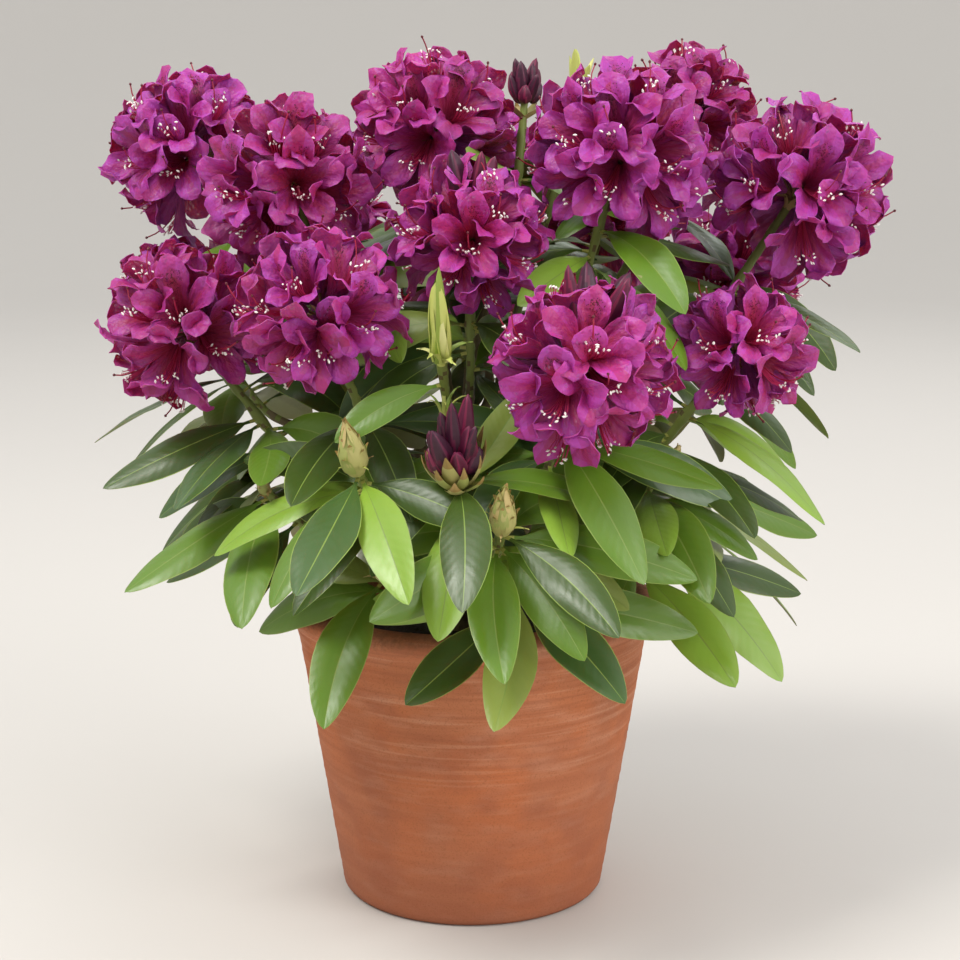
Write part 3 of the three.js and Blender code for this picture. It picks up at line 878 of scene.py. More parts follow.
def bough_controls(index, bearing, reach, height):
    """A bough's three control points, from the trunk's middle to its tip."""
    is_leader = index == len(BOUGHS) - 1
    tier = TIER_HEIGHTS[index % len(TIER_HEIGHTS)]
    root_height = trunk_top[2] - LEADER_DROP if is_leader else tier
    share = (root_height - trunk_foot[2]) / (trunk_top[2] - trunk_foot[2])
    root = trunk_foot + (trunk_top - trunk_foot) * share
    elbow = place(bearing, 0.85 * reach, root_height + 0.35 * (height - root_height))
    return [root, elbow, place(bearing, reach, height)]


def make_trunk(bark):
    """The trunk, fluted at its flare, with fissured bark."""
    path = even_path(np.array([trunk_foot, trunk_top]), TRUNK_ROWS)
    share = np.linspace(0, 1, TRUNK_ROWS)
    radius = np.interp(share, *zip(*TRUNK_STATIONS))
    flutes = np.cos(TRUNK_FLUTES * turns_of(TRUNK_SIDES) + 1)
    rings = tube(path, radius[:, None] * (1 + 0.1 * np.exp(-5 * share)[:, None] * flutes), TRUNK_SIDES)
    rings = roughen(rings, path[:, None], *TRUNK_BARK)
    rings[0, :, 2] = trunk_foot[2]
    trunk = Heap("trunk_bark", "bark", [bark])
    trunk.add(np.concatenate([point_ring(path[0], rings), rings, point_ring(path[-1], rings)]))
    for piece in trunk.pieces():
        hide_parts("trunk")


def make_bough(name, controls, bark):
    """One bough, which swells into a knuckle at its tip."""
    path = curve_path(controls, BOUGH_ROWS)
    length = np.linalg.norm(np.diff(path, axis=0), axis=1).sum()
    knuckle = KNUCKLE_LENGTH / length
    stations = [(0, BOUGH_RADIUS), (1 - 2 * knuckle, BOUGH_TIP_RADIUS),
                (1 - knuckle, KNUCKLE_RADIUS), (1 - 0.3 * knuckle, 0.85 * KNUCKLE_RADIUS),
                (1, 0.3 * KNUCKLE_RADIUS)]
    radius = np.interp(np.linspace(0, 1, BOUGH_ROWS), *zip(*stations))
    rings = roughen(tube(path, radius, BOUGH_SIDES), path[:, None], *BOUGH_BARK)
    bough = Heap(f"bark_{name}", "bark", [bark])
    bough.add(np.concatenate([rings, point_ring(path[-1], rings)]))
    for piece in bough.pieces():
        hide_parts(f"bough_{name}")


# The shoots

def seat_shoots(shoots):
    """Turns the shoots of one knuckle at least SHOOT_ANGLE apart."""
    least = math.radians(SHOOT_ANGLE)
    for _ in range(SEAT_PASSES):
        for i, a in enumerate(shoots):
            for b in shoots[i + 1:]:
                angle = math.acos(max(-1, min(1, float(np.dot(a["seat"], b["seat"])))))
                if angle >= least:
                    continue
                push = unit(a["seat"] - b["seat"]) * (least - angle) / 2
                a["seat"] = unit(a["seat"] + push)
                b["seat"] = unit(b["seat"] - push)


def make_shoot(index, row, bough_paths):
    """A shoot's own facts: its head, axis, whorl and seat on the knuckle."""
    name, bough, kind, bearing, reach, height, size, leaves, stalk, turn = row
    centre = place(bearing, reach, height)
    lean = min(math.radians(MAX_LEAN), math.atan2(reach, height - HUB_HEIGHT))
    axis = place(bearing, math.sin(lean), math.cos(lean))
    path = bough_paths[bough]
    steps = np.linalg.norm(np.diff(path, axis=0), axis=1)
    share = 1 - KNUCKLE_LENGTH / steps.sum()
    root = even_path(path, ROOT_STEPS + 1)[round(ROOT_STEPS * share)]
    heading = unit(path[-1] - path[-2])
    return {"name": name, "bough": bough, "kind": kind, "centre": centre, "axis": axis, "size": size,
            "leaves": leaves, "turn": turn, "whorl": centre - axis * stalk, "root": root,
            "seat": unit(unit(centre - root) + heading), "seed": index + 1}


def add_stem(shoot, rng):
    """The stem, brown near its bough and green above, thicker where leaves have dropped."""
    centre, axis, root, seat = (shoot[key] for key in ("centre", "axis", "root", "seat"))
    end = shoot["whorl"] - axis * LEAF_STEP * shoot["leaves"]
    span = np.linalg.norm(end - root)
    controls = [root, root + seat * STEM_PULL * span, end - axis * STEM_PULL * span, end]
    path = even_path(np.concatenate([curve_path(controls, STEM_SAMPLES), centre[None]]), STEM_ROWS)
    share = np.linspace(0, 1, STEM_ROWS)
    radius = SHOOT_RADIUS + (SHOOT_TIP_RADIUS - SHOOT_RADIUS) * share
    radius = radius * (1 + 0.05 * rng.normal(size=STEM_ROWS))
    near_whorl = np.exp(-(np.linalg.norm(path - shoot["whorl"], axis=1) / 9) ** 2)
    radius = radius * (1 + 0.22 * near_whorl)
    rough = 1 + 0.07 * rng.normal(size=(STEM_ROWS, STEM_SIDES))
    faces = (STEM_ROWS - 1, STEM_SIDES)
    brown_to = rng.uniform(0.3, 0.5)
    kinds = np.where(share[:-1, None] + rng.uniform(-0.1, 0.1, faces) < brown_to, STEM_BROWN, STEM_GREEN)
    kinds = np.where(rng.random(faces) < 0.05, STEM_SCAR, kinds)
    twigs.add(tube(path, radius[:, None] * rough, STEM_SIDES), kinds)
    shoot["path"] = path


def leaf_ways(shoot):
    """Each leaf that the solid has, as its root, way out, face, length and droop.

    The source's rule gives a leaf's tip for each of its tries, and the solid has a corner at
    the tip of the try that found room.
    """
    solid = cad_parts[shoot["name"]].data.vertices
    corners = KDTree(len(solid))
    for i, corner in enumerate(solid):
        corners.insert(corner.co / MM, i)
    corners.balance()
    random = seeded_random(shoot["seed"])
    axis, whorl, count = shoot["axis"], shoot["whorl"], shoot["leaves"]
    spread = BLOSSOM_SPREAD if shoot["kind"] == "truss" else BUD_SPREAD
    stance = unit(axis + UP * SKYWARD)
    found = []
    for i in range(count):
        bearing = shoot["turn"] + 360 * i / count + STRAY_ROUND * (random() - 0.5)
        angle = spread + STRAY_AWAY * (random() - 0.5)
        length = LEAF_LENGTH * (0.88 + 0.24 * random())
        fall = LEAF_DROOP * (0.3 + 2.6 * random())
        root = whorl - axis * LEAF_STEP * i
        for aside, lower, share in LEAF_TRIES:
            way = aim(stance, angle, bearing + aside)
            hanging = unit(way - UP * (fall + lower))
            tip = root + share * length * (LEAF_BEND * way + (1 - LEAF_BEND) * hanging)
            if corners.find(Vector(tip))[2] < TIP_MATCH:
                found.append((root, way, stance, share * length, fall + lower))
                break
    return found


def leaf_kinds(share, tint):
    """The material of each of a leaf's faces."""
    kinds = np.full((LEAF_ROWS - 1, len(LEAF_COLUMNS)), tint)
    kinds[:, [0, LEAF_TOPS - 2]] = LEAF_RIM
    kinds[:, LEAF_TOPS // 2 - 1] = MIDRIB
    kinds[:, LEAF_TOPS - 1:] = YOUNG_TOP if tint == YOUNG_TOP else LEAF_BACK + tint % 2
    kinds[share[1:] < STALK_SHARE] = LEAF_STALK
    return kinds


def leaf_path(root, way, face, length, droop, rng):
    """An arched midrib whose rows crowd at its ends, and how far along it each row is."""
    hanging = unit(way - UP * droop)
    sideways = unit(np.cross(face, way)) * rng.uniform(-LEAF_ASIDE, LEAF_ASIDE) * length
    elbow = root + LEAF_BEND * length * way + sideways
    tip = elbow + (1 - LEAF_BEND) * length * hanging - sideways
    even = np.linspace(0, 1, LEAF_ROWS)
    share = even - END_CROWDING * np.sin(2 * math.pi * even) / (2 * math.pi)
    samples = np.round((LEAF_SAMPLES - 1) * share).astype(int)
    return curve_path([root, elbow, tip], LEAF_SAMPLES)[samples], share


def add_leaf(root, way, face, length, droop, tint, rng):
    """A leaf on its stalk, arched along its midrib, bowed across it and rippled at its rim."""
    path, share = leaf_path(root, way, face, length, droop, rng)
    along = np.clip((share - STALK_SHARE) / (1 - STALK_SHARE), 0, 1)
    half = 0.5 * LEAF_WIDTH * length / LEAF_LENGTH
    eased = along ** rng.uniform(0.92, 1.12)
    outline = np.sin(math.pi * eased) ** np.where(eased < 0.5, 0.85, 0.64)
    half_width = np.maximum(half * rng.uniform(0.9, 1.08) * outline, 1.2 * (1 - along))
    half_width[-1] = 0.05
    fold = rng.uniform(*LEAF_FOLDS)
    bow = rng.uniform(*LEAF_BOWS)

    def height(columns):
        return fold * abs(columns) - bow * columns ** 2

    thickness = 0.5 + 1.7 * np.exp(-(share / STALK_SHARE) ** 2)
    twist = rng.uniform(-LEAF_TWIST, LEAF_TWIST) + rng.uniform(-LEAF_TWIST, LEAF_TWIST) * share
    outward = unit(root * LEVEL + TINY)
    face = face + outward * rng.uniform(*OUTWARD_LEAN) + LIGHT_SIDE * rng.uniform(*LIGHT_LEAN)
    face = unit(face)
    level = unit(np.cross(face, way))
    faces = face * np.cos(twist)[:, None] + level * np.sin(twist)[:, None]
    rings = blade(path, faces, half_width, LEAF_COLUMNS, LEAF_TOPS, height, thickness)
    ripple = np.sin(2 * math.pi * (rng.uniform(*RIPPLES) * share[:, None] + rng.uniform()))
    ripple = ripple * LEAF_COLUMNS ** 2 * half_width[:, None] * rng.uniform(*RIPPLE_SIZES)
    groove = -0.25 * np.exp(-(LEAF_COLUMNS / 0.12) ** 2) * outline[:, None]
    rings = rings + unit(faces)[:, None] * (ripple + groove)[..., None]
    veins = WAVE_LENGTH * (VEINS * share[:, None] - VEIN_SWEEP * np.abs(LEAF_COLUMNS))
    marks = np.stack(np.broadcast_arrays(LEAF_COLUMNS, share[:, None], veins), axis=-1)
    foliage.add(rings, leaf_kinds(share, tint), marks=marks)
    leaf_points.append(rings[4::3, ::4].reshape(-1, 3))


def leaf_tint(shoot, rng):
    """Dark greens under the blossom, fresher ones low and in front, and a few olive leaves."""
    if shoot["kind"] == "young":
        return YOUNG_TOP
    greens, shares = BLOSSOM_GREENS if shoot["kind"] == "truss" else FRESH_GREENS
    return rng.choice(greens, p=shares)


def has_room(points, others, radii):
    """Whether points keep clear of the pot, and of other points by a radius for each."""
    from_axis = np.linalg.norm(points[:, :2], axis=1)
    if np.any((points[:, 2] < POT_ROOM) & (from_axis < RIM_RADIUS + RIM_ROOM)):
        return False
    away = np.linalg.norm(points[:, None] - others[None], axis=-1)
    return bool(np.all(away > radii))


def try_old_leaf(root, stance, turn, solid, radii, rng):
    """Adds an old leaf at the first of a few turns where it has room, if there is one."""
    length = LEAF_LENGTH * rng.uniform(*OLD_LEAF_LENGTHS)
    droop = rng.uniform(*OLD_LEAF_DROOPS)
    for aside in OLD_LEAF_TRIES:
        way = aim(stance, OLD_LEAF_SPREAD, turn + aside)
        elbow = root + LEAF_BEND * length * way
        tip = elbow + (1 - LEAF_BEND) * length * unit(way - UP * droop)
        middle = curve_path([root, elbow, tip], 9)[2:]
        side = unit(np.cross(stance, way)) * LEAF_WIDTH * 0.3
        points = np.concatenate([middle, middle[1:-1] + side, middle[1:-1] - side])
        leaves = np.concatenate(leaf_points)
        leaves = leaves[np.linalg.norm(leaves - middle[3], axis=1) < LEAF_LENGTH]
        if has_room(points, solid, radii) and has_room(points, leaves, OLD_LEAF_ROOM):
            add_leaf(root, way, stance, length, droop, rng.choice(OLD_GREENS), rng)
            return


def add_old_leaves(shoots):
    """Leaves of the years before, further down the stems, wherever one has room."""
    heads = [shoot for shoot in shoots if shoot["kind"] in ("truss", "buds")]
    centres = np.array([shoot["centre"] for shoot in heads])
    stems = np.concatenate([shoot["path"][6:] for shoot in shoots])
    for shoot in shoots:
        path = shoot["path"]
        rng = np.random.default_rng(OLD_LEAF_SEED + shoot["seed"])
        own = np.linalg.norm(stems[:, None] - path[None], axis=-1).min(axis=1) < 1
        solid = np.concatenate([centres, stems[~own]])
        radii = np.full(len(solid), STEM_ROOM)
        radii[:len(centres)] = [head["size"] + HEAD_ROOM for head in heads]
        turn = rng.uniform(0, 360)
        for share in OLD_LEAF_SHARES:
            at = round(share * (len(path) - 1))
            stance = unit(unit(path[at + 1] - path[at - 1]) + UP * SKYWARD)
            for _ in range(OLD_LEAVES):
                turn += GOLDEN_ANGLE
                try_old_leaf(path[at], stance, turn, solid, radii, rng)


# Flowers

def petal_points(shape, lobe, across, along, outward):
    """Points on a flower in its own frame: across a lobe from -1 to 1 and along it to 1."""
    lobe, across, along = np.broadcast_arrays(lobe, across, along)
    free = smooth_step((along - NOTCH + 0.05) / (1.05 - NOTCH))
    turn = np.radians(LOBE_ANGLE * lobe + across * (LOBE_ANGLE / 2 + LOBE_OVERLAP * free))
    flat = along.ravel()
    radius, height = bezier(shape["profile"], flat).T
    slope = bezier(np.diff(shape["profile"], axis=0), flat)
    inward, inner_up = (unit(slope) @ np.array([[0, 1], [-1, 0]])).T
    radius, height, inward, inner_up = (
        values.reshape(along.shape) for values in (radius, height, inward, inner_up))
    curl = shape["curl"][lobe] * across ** 2
    wave = np.sin(2 * math.pi * (3.1 * along + shape["phase"][lobe]) + 2.4 * across)
    wave = shape["wave"][lobe] * wave * np.abs(across) ** 1.1
    tip = shape["tip"][lobe] * free ** 2
    pleat = 0.6 * np.cos(3 * math.pi * across) * smooth_step((along - 0.2) / 0.3)
    crease = -0.9 * np.exp(-(across / 0.17) ** 2) * smooth_step((along - 0.3) / 0.3)
    lift = free * (curl + wave + LOBE_TILT * across) + tip + pleat + crease - outward
    radius = radius + inward * lift
    height = height + inner_up * lift
    return np.stack([radius * np.sin(turn), radius * np.cos(turn), height], axis=-1)


def flower_shape(rng):
    """How one flower differs from the next."""
    profile = np.array(FLOWER_PROFILE, float)
    profile[2:, 0] *= rng.uniform(0.9, 1.08)
    profile[3:, 1] += rng.uniform(-2, 2.5)
    return {"profile": profile,
            "curl": rng.uniform(-6, 1, LOBES),
            "wave": rng.uniform(1.8, 3.8, LOBES),
            "phase": rng.uniform(0, 1, LOBES),
            "tip": rng.uniform(-7, 3, LOBES),
            "length": rng.uniform(0.92, 1.03, LOBES) + UPPER_LOBE_GROWTH * (np.arange(LOBES) == 0)}


def petal_kinds(along, across, lobe, tint, shades):
    """The colour of each face: dark in the throat, lighter outwards, a blotch on the top lobe."""
    step = np.interp(along, [0.28, 0.4, 0.54, 0.68, 0.82], range(PETAL_RIM + 1)) + shades[lobe]
    step = step - 1.2 * (np.abs(across) < 0.12)
    blotch = (lobe == 0) & (np.abs(across) < 0.5) & (along < 0.72)
    step = np.where(blotch, step - 1, step)
    return np.clip(np.round(step), 0, PETAL_RIM).astype(int) + PETAL_STEPS * tint


def add_corolla(shape, put, tint, rng):
    """A thin corolla of joined lobes with ruffled rims, lighter in some lobes than in others."""
    lobe = np.repeat(np.arange(LOBES), LOBE_COLUMNS)[None, :]
    across = np.tile(np.linspace(-1, 1, LOBE_COLUMNS, endpoint=False), LOBES)[None, :]
    aside = np.abs(across)
    reach = NOTCH + (shape["length"][lobe] - NOTCH) * (1 - 0.6 * aside - 0.4 * aside ** 3)
    along = reach * FLOWER_ROWS[:, None]
    ruffle = np.sin(2 * math.pi * (1.5 * across + shape["phase"][lobe] + 0.31 * lobe))
    ruffle = RUFFLE * ruffle * FLOWER_ROWS[:, None] ** 5
    inner = petal_points(shape, lobe, across, along, ruffle)
    outer = petal_points(shape, lobe, across, along, ruffle + PETAL_THICKNESS)
    shades = rng.uniform(-0.5, 0.5, LOBES)
    middle_along = (along[:-1] + along[1:]) / 2
    kinds = petal_kinds(middle_along, across + 1 / LOBE_COLUMNS, lobe, tint, shades)
    outer_kinds = np.full((len(BACK_ROWS), lobe.size), PETAL_STEPS * tint + PETAL_BACK)
    # The rim's very edge is paler on the lighter lobes: a paler margin, and partly a painted highlight
    # where the rim curls.
    outer_kinds[0] = PETAL_STEPS * tint + np.where(shades[lobe[0]] > 0.1, PALE_EDGE_AND_HIGHLIGHT, PETAL_RIM)
    marks = np.stack([across + 2.0 * lobe + 0 * along, along, 0 * along], axis=-1)
    petals.add(put(np.concatenate([inner, outer[BACK_ROWS]])), np.concatenate([kinds, outer_kinds]),
               marks=np.concatenate([marks, marks[BACK_ROWS]]))


def add_speckles(shape, put, rng):
    """Dark flecks just above the upper lobe, each with four corners."""
    along = rng.uniform(0.34, 0.8, SPECKLES)[:, None]
    across = np.clip(rng.normal(scale=0.22, size=SPECKLES), -0.6, 0.6)[:, None]
    long_step = SPECKLE_LENGTH * np.array([1, 0, -1, 0]) * rng.uniform(0.5, 1.3, (SPECKLES, 1))
    wide_step = SPECKLE_WIDTH * np.array([0, 1, 0, -1]) * rng.uniform(0.5, 1.3, (SPECKLES, 1))
    for speckle in put(petal_points(shape, 0, across + wide_step, along + long_step, -0.4)):
        petals.add(speckle[[[0, 1], [3, 2]]], SPECKLE, wrap=False)


def add_stamens(put, rng):
    """Ten stamens low in the funnel that turn up at their ends, and a longer style."""
    for i in range(STAMENS):
        fan = (i / (STAMENS - 1) - 0.5) * 2
        reach = rng.uniform(*STAMEN_REACH)
        end = np.array([6.5 * fan + rng.normal(), -6 - 3 * (1 - fan ** 2) + 1.5 * rng.normal(), reach])
        controls = [(0.8 * fan, -0.8, 4), (2 * fan, -5, 15), (5.5 * fan, -12, 0.72 * reach), end]
        stamens.add(tube(put(curve_path(controls, 5)), np.full(5, 0.33), 3), FILAMENT)
        tilt = unit(rng.normal(size=3) + np.array([0, 0.5, 1]))
        head = end + tilt * np.array([-1.2, 0, 1.2])[:, None]
        stamens.add(tube(put(head), [0.25, 0.75, 0.25], 4), ANTHER)
    end = (rng.uniform(-4, 4), rng.uniform(-3, 6), rng.uniform(*STYLE_REACH))
    path = put(curve_path([(0, 0, 4), (0, -5, 18), (0, -12, 34), end], 9))
    stamens.add(tube(path, np.full(9, 0.45), 4), STYLE)
    tip = path[-1] + unit(path[-1] - path[-2]) * np.linspace(-0.5, 1.6, 4)[:, None]
    stamens.add(tube(tip, [0.4, 0.95, 0.9, 0.1], 5), STIGMA)


def add_flower(foot, axis, upward, scale, tint, rng):
    """A flower: its corolla, speckled on the upper lobe, and what stands in it."""
    turned_frame = np.stack([np.cross(upward, axis), upward, axis]) * scale

    def put(points):
        return foot + points @ turned_frame

    shape = flower_shape(rng)
    add_corolla(shape, put, tint, rng)
    add_speckles(shape, put, rng)
    add_stamens(put, rng)


# Buds, scales and young leaves

def add_closed_bud(foot, axis, length, radius, rng):
    """A ribbed flower bud, widest below its middle and pointed.

    It is dark or maroon, and its ribs take the next, lighter kind, a painted highlight on their crests.
    """
    share = np.linspace(0, 1, BUD_ROWS)
    bend = unit(rng.normal(size=3)) * length * 0.04
    path = curve_path([foot, foot + axis * 0.5 * length + bend, foot + axis * length], BUD_ROWS)
    girth = radius * (0.18 + 0.82 * np.sin(math.pi * share ** 0.8) ** 0.75)
    girth[-1] = 0.1
    turn = turns_of(BUD_SIDES)
    ribs = np.cos(5 * turn[None, :] + rng.uniform(2, 4) * share[:, None] + rng.uniform(0, 6))
    folds = ribs + 0.4 * np.cos(2 * turn + rng.uniform(0, 6))
    rings = tube(path, girth[:, None] * (1 + 0.13 * folds), BUD_SIDES)
    # Painted highlight: the crests of the ribs take the next, lighter colour.
    kinds = rng.choice([BUD_DARK, BUD_MAROON]) + (ribs[:-1] > 0.6)
    buds.add(np.concatenate([rings, point_ring(path[-1], rings)]), np.concatenate([kinds, kinds[:1]]))


def add_scale(heap, path, face, width, kinds, cup=0.35, rows=SCALE_ROWS, pointed=0.9):
    """A thin scale or young leaf along a path, cupped towards its face and pointed."""
    path = even_path(path, rows)
    share = np.linspace(0, 1, rows)
    half = 0.78 * width * (0.12 + share) ** 0.35 * (1.0 - share) ** pointed
    half[-1] = 0.05
    rings = blade(path, face, np.maximum(half, 0.3), SCALE_COLUMNS, SCALE_TOPS,
                  lambda columns: cup * columns ** 2, np.full(rows, 0.35))
    heap.add(rings, kinds)


def tipped_kinds(kind, tip_rows):
    """The material of each of a scale's faces, with rows of brown at its tip."""
    kinds = np.full((SCALE_ROWS - 1, len(SCALE_COLUMNS)), kind)
    kinds[-tip_rows:] = BUD_SCALE_TIP
    return kinds


def add_ruff(heap, foot, axis, count, length, width, flare, kinds, rng):
    """A ruff of scales round a foot, which flare out and curl at their ends."""
    for out in spokes(axis, count, 360 * rng.uniform()):
        size = length * rng.uniform(0.7, 1.25)
        lean = flare * rng.uniform(0.6, 1.4)
        end = foot + unit(axis + out * lean) * size
        controls = [foot + out * 2, foot + out * 3.2 + axis * 0.55 * size, end,
                    end + unit(out * lean - UP * 0.4) * 0.25 * size]
        path = bezier(controls, np.linspace(0, 1, 12))
        add_scale(heap, path, -out, width * rng.uniform(0.8, 1.2), rng.choice(kinds))


def add_scaly_bud(foot, axis, length, radius, rng):
    """A leaf bud wrapped in overlapping scales whose tips turn brown."""
    def girth(share):
        return radius * np.sin(math.pi * (0.12 + 0.88 * np.minimum(share, 1)) ** 0.72) ** 1.1 + 0.1

    share = np.linspace(0, 1, 12)
    buds.add(tube(foot + axis * length * share[:, None], girth(share), 12), BUD_SCALE)
    for i, out in enumerate(spokes(axis, BUD_SCALES, 360 * rng.uniform())):
        low = 0.64 * (BUD_SCALES - i) / BUD_SCALES
        at = np.linspace(low, min(1.06, low + rng.uniform(0.3, 0.5)), SCALE_ROWS)
        hug = girth(at) + 0.4
        hug[-3:] += np.array([0.04, 0.12, 0.28]) * rng.uniform(0.2, 1.5) * radius
        path = foot + axis * length * at[:, None] + out * hug[:, None]
        kinds = tipped_kinds(rng.choice([BUD_SCALE, BUD_SCALE, SCALE_TAN, SCALE_GREEN]), 1)
        add_scale(buds, path, out, 1.35 * radius, kinds, cup=-0.25, pointed=0.8)


def add_bud_cluster(centre, axis, size, rng):
    """A tight cluster of closed flower buds in a cup of pointed scales."""
    for i, way in enumerate(spiral(axis, CLUSTER_BUDS, 70, 0)):
        lean = unit(way + 1.7 * axis + 0.28 * rng.normal(size=3))
        length = (1.02 - 0.05 * i) * size * rng.uniform(0.85, 1.1)
        foot = centre + way * 0.15 * size - axis * 0.14 * size
        add_closed_bud(foot, lean, length, 0.13 * size * rng.uniform(0.75, 1.15), rng)
    at = np.linspace(0, 1, SCALE_ROWS)
    for i, out in enumerate(spokes(axis, 15 if size > LOOSE_SIZE else 4, 0)):
        swell = (0.34 - 0.006 * i) * np.sin(2.0 * at) + rng.uniform(-0.03, 0.2) * at ** 3
        height = size * (0.42 + 0.03 * i) * rng.uniform(0.75, 1.25) * at
        path = centre + axis * (height[:, None] - 0.38 * size)
        path = path + out * size * (0.06 + swell)[:, None]
        kinds = tipped_kinds(rng.choice([BUD_SCALE, SCALE_TAN, SCALE_GREEN]), 2)
        add_scale(buds, path, -out, 0.33 * size * rng.uniform(0.8, 1.15), kinds)


def add_young_leaves(foot, axis, length, width, count, parting, rng):
    """A spindle of rolled young leaves, which part towards their tips."""
    for i, out in enumerate(spokes(axis, count, 360 * rng.uniform())):
        size = length * (1 - 0.4 * i / count) * rng.uniform(0.92, 1.08)
        part = rng.uniform(0.4, 1) * parting
        controls = [foot + out, foot + axis * 0.35 * size + out * (0.9 * width + 0.2 * part),
                    foot + axis * 0.7 * size + out * (0.7 * width + 0.6 * part),
                    foot + axis * size + out * part]
        path = bezier(controls, np.linspace(0, 1, 16))
        kind = rng.choice([YOUNG_LEAF, YOUNG_PALE, YOUNG_GREEN], p=YOUNG_SHARES)
        add_scale(buds, path, out, 2.3 * width, kind, cup=-0.6, rows=YOUNG_ROWS, pointed=0.5)


def add_young_shoot(centre, axis, size, rng):
    """A fresh shoot: rolled leaves above a ruff of curled scales."""
    width, count, parting = (0.105, 8, 0.06) if size > LOOSE_SIZE else (0.085, 5, 0.4)
    add_young_leaves(centre - axis * 4, axis, size, width * size, count, parting * size, rng)
    add_ruff(buds, centre - axis * 6, axis, 5, 0.3 * size, 6, 1.3,
             [YOUNG_LEAF, YOUNG_PALE, YOUNG_GREEN], rng)
    add_ruff(buds, centre - axis * 0.7 * size, axis, 6, 0.34 * size, 3, 0.7,
             [YOUNG_LEAF, YOUNG_GREEN], rng)


# Heads

def add_truss(shoot, rng):
    """A domed head of flowers on brown stalks; in two heads some buds are still closed."""
    centre, axis, size = shoot["centre"], shoot["axis"], shoot["size"]
    start = 360 * seeded_random(HEAD_SEED + shoot["seed"])()
    share = size / HEAD_UNIT
    flowers = round(FLOWERS * share)
    tints = rng.choice(len(PETAL_TINTS), p=rng.permutation(TINT_SHARES), size=flowers)
    late = aim(axis, *LATE_BUDS[shoot["name"]]) if shoot["name"] in LATE_BUDS else -axis
    for i, way in enumerate(spiral(axis, flowers, FLOWERS_CAP, start)):
        way = unit(way + 0.07 * rng.normal(size=3))
        if np.dot(way, late) > LATE_ROOM:
            continue
        scale = math.sqrt(share) * rng.uniform(0.92, 1.03)
        foot = centre + way * (FLOWER_FOOT * share ** 2 + rng.uniform(-2, 1.5))
        stalk = bezier([centre - axis * 10, centre - axis * 2, foot - way * 5, foot + way],
                       np.linspace(0, 1, 7))
        twigs.add(tube(stalk, np.full(7, 1.0), 5), FLOWER_STALK)
        upward = unit(UP - way * way[2] + 0.12 * rng.normal(size=3))
        facing = unit(way + 0.14 * rng.normal(size=3))
        upward = unit(upward - facing * np.dot(upward, facing))
        add_flower(foot, facing, upward, scale, tints[i], rng)
    if shoot["name"] in LATE_BUDS:
        for i, way in enumerate(spiral(late, 5, 30, 0)):
            add_closed_bud(centre + way * 20, way, 0.7 * size, 7 - 0.6 * i, rng)
    add_ruff(twigs, centre - axis * 12, axis, 6, 17, 5, 1.6, [SCALE_DRY, SCALE_BROWN], rng)


def add_head(shoot, rng):
    """What a shoot carries at its tip."""
    kind, centre, axis, size = (shoot[key] for key in ("kind", "centre", "axis", "size"))
    if kind == "truss":
        add_truss(shoot, rng)
        return
    axis = unit(axis + UP * BUD_RISE)
    if kind == "buds":
        add_bud_cluster(centre, axis, size, rng)
    elif kind == "young":
        add_young_shoot(centre, axis, size, rng)
    else:
        add_scaly_bud(centre - axis * 2, axis, size + 1, 0.2 * size + 0.8, rng)
        add_ruff(buds, centre - axis * 4, axis, 4, 0.2 * size + 6, 3, 1.2,
                 [BUD_SCALE_TIP, SCALE_TAN, YOUNG_LEAF], rng)


def make_plant():
    """Trunk, boughs, shoots, leaves and flowers."""
    bark = bark_material()
    make_trunk(bark)
    bough_paths = {}
    for index, (name, *where) in enumerate(BOUGHS):
        controls = bough_controls(index, *where)
        bough_paths[name] = bezier(controls, np.linspace(0, 1, BOUGH_SAMPLES))
        make_bough(name, controls, bark)
    shoots = [make_shoot(i, row, bough_paths) for i, row in enumerate(SHOOTS)]
    for name, *_ in BOUGHS:
        seat_shoots([shoot for shoot in shoots if shoot["bough"] == name])
    for shoot in shoots:
        rng = np.random.default_rng(shoot["seed"])
        add_stem(shoot, rng)
        for *leaf, droop in leaf_ways(shoot):
            sag = rng.uniform(0, 0.25) if shoot["kind"] == "truss" else rng.uniform(-0.05, 0.15)
            add_leaf(*leaf, droop + sag, leaf_tint(shoot, rng), rng)
        add_head(shoot, rng)
    add_old_leaves(shoots)
    masses = [shoot["name"] for shoot in shoots]
    for heap in (petals, stamens, foliage, twigs, buds):
        for piece in heap.pieces():
            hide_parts(*masses)


# Floor, light and camera

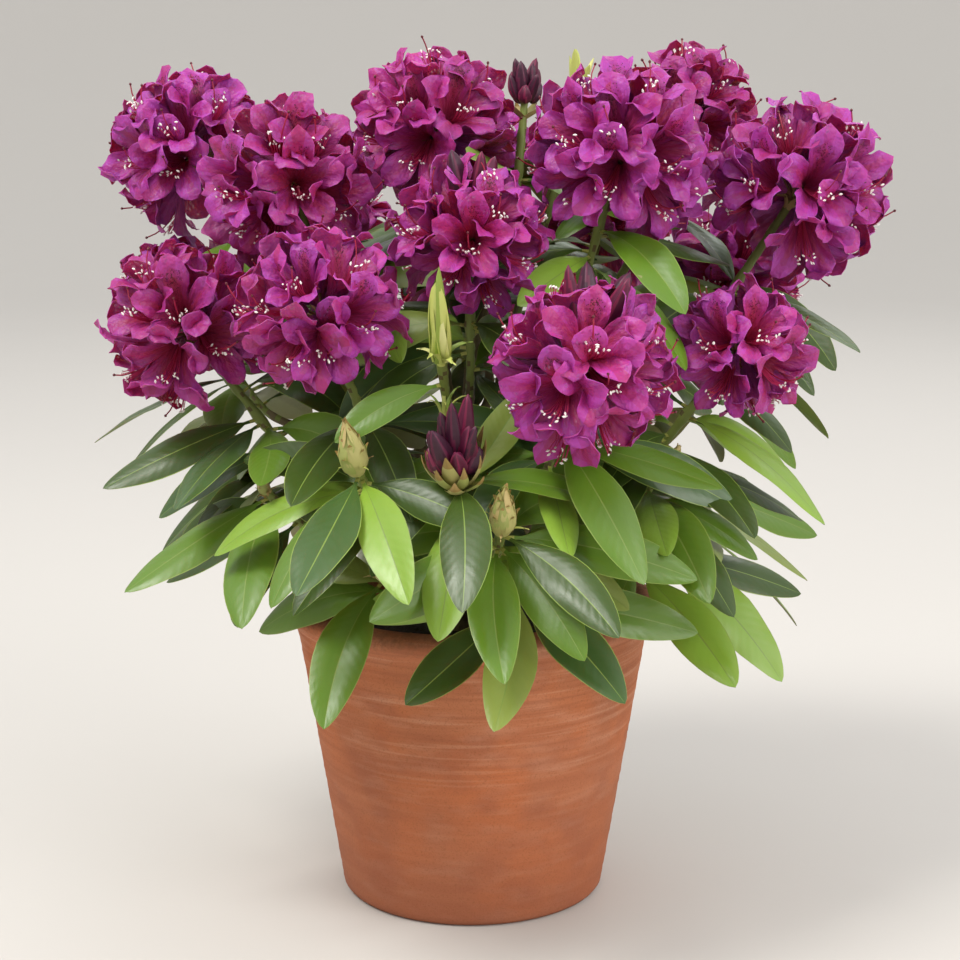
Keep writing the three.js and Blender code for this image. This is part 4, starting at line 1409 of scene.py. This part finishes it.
def make_stage():
    """A round pale floor that sweeps up at its edge, so that no view shows a horizon."""
    arc = np.concatenate([np.zeros(FLOOR_RINGS), np.linspace(0, math.pi / 2, SWEEP_RINGS + 1)[1:]])
    reach = np.linspace(0.001, FLOOR_REACH, FLOOR_RINGS)
    reach = np.concatenate([reach, np.full(SWEEP_RINGS, FLOOR_REACH)])
    reach += FLOOR_SWEEP * np.sin(arc)
    rise = FLOOR_SWEEP * (1 - np.cos(arc))
    rings = turned(np.stack([reach, rise], axis=1), FLOOR_SIDES)
    mesh = bpy.data.meshes.new("floor")
    faces = grid_faces(len(rings), FLOOR_SIDES, True)
    mesh.from_pydata(rings.reshape(-1, 3).tolist(), [], faces.tolist())
    mesh.shade_smooth()
    floor = add_object("floor", mesh)
    stone = new_material("floor_stone", "#cac6c0", 0.8)
    vary_roughness(noise_of(stone, 3, 5), 0.7, 0.9)
    mesh.materials.append(stone)
    floor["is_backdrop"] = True


def make_light():
    """Open shade: a bright sky above with soft square lights, the key from the upper left."""
    world = bpy.data.worlds.new("sky")
    bpy.context.scene.world = world
    world.use_nodes = True
    sky = world.node_tree.nodes["Background"]
    sky.inputs["Color"].default_value = SKY_COLOUR
    sky.inputs["Strength"].default_value = SKY_STRENGTH
    for name, (where, size, power, colour) in LIGHTS.items():
        light = bpy.data.lights.new(name, "AREA")
        light.shape = "SQUARE"
        light.size = size
        light.energy = power
        light.color = colour
        lamp = add_object(name, light)
        lamp.location = where
        way = Vector(LIGHT_TARGET) - Vector(where)
        lamp.rotation_euler = way.to_track_quat("-Z", "Y").to_euler()


def make_camera():
    """The camera of the photograph."""
    camera = add_object("camera", bpy.data.cameras.new("camera"))
    camera.data.lens = CAMERA_LENS
    camera.data.sensor_width = CAMERA_SENSOR
    camera.location = CAMERA_PLACE
    camera.rotation_euler = (math.radians(90 - CAMERA_PITCH), 0, 0)
    bpy.context.scene.camera = camera


make_camera()
make_light()
make_stage()
make_pot()
make_soil()
make_plant()

bpy.context.scene.view_settings.view_transform = "Standard"
[[list(corner) for corner in box] for box in (cad_box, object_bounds())]
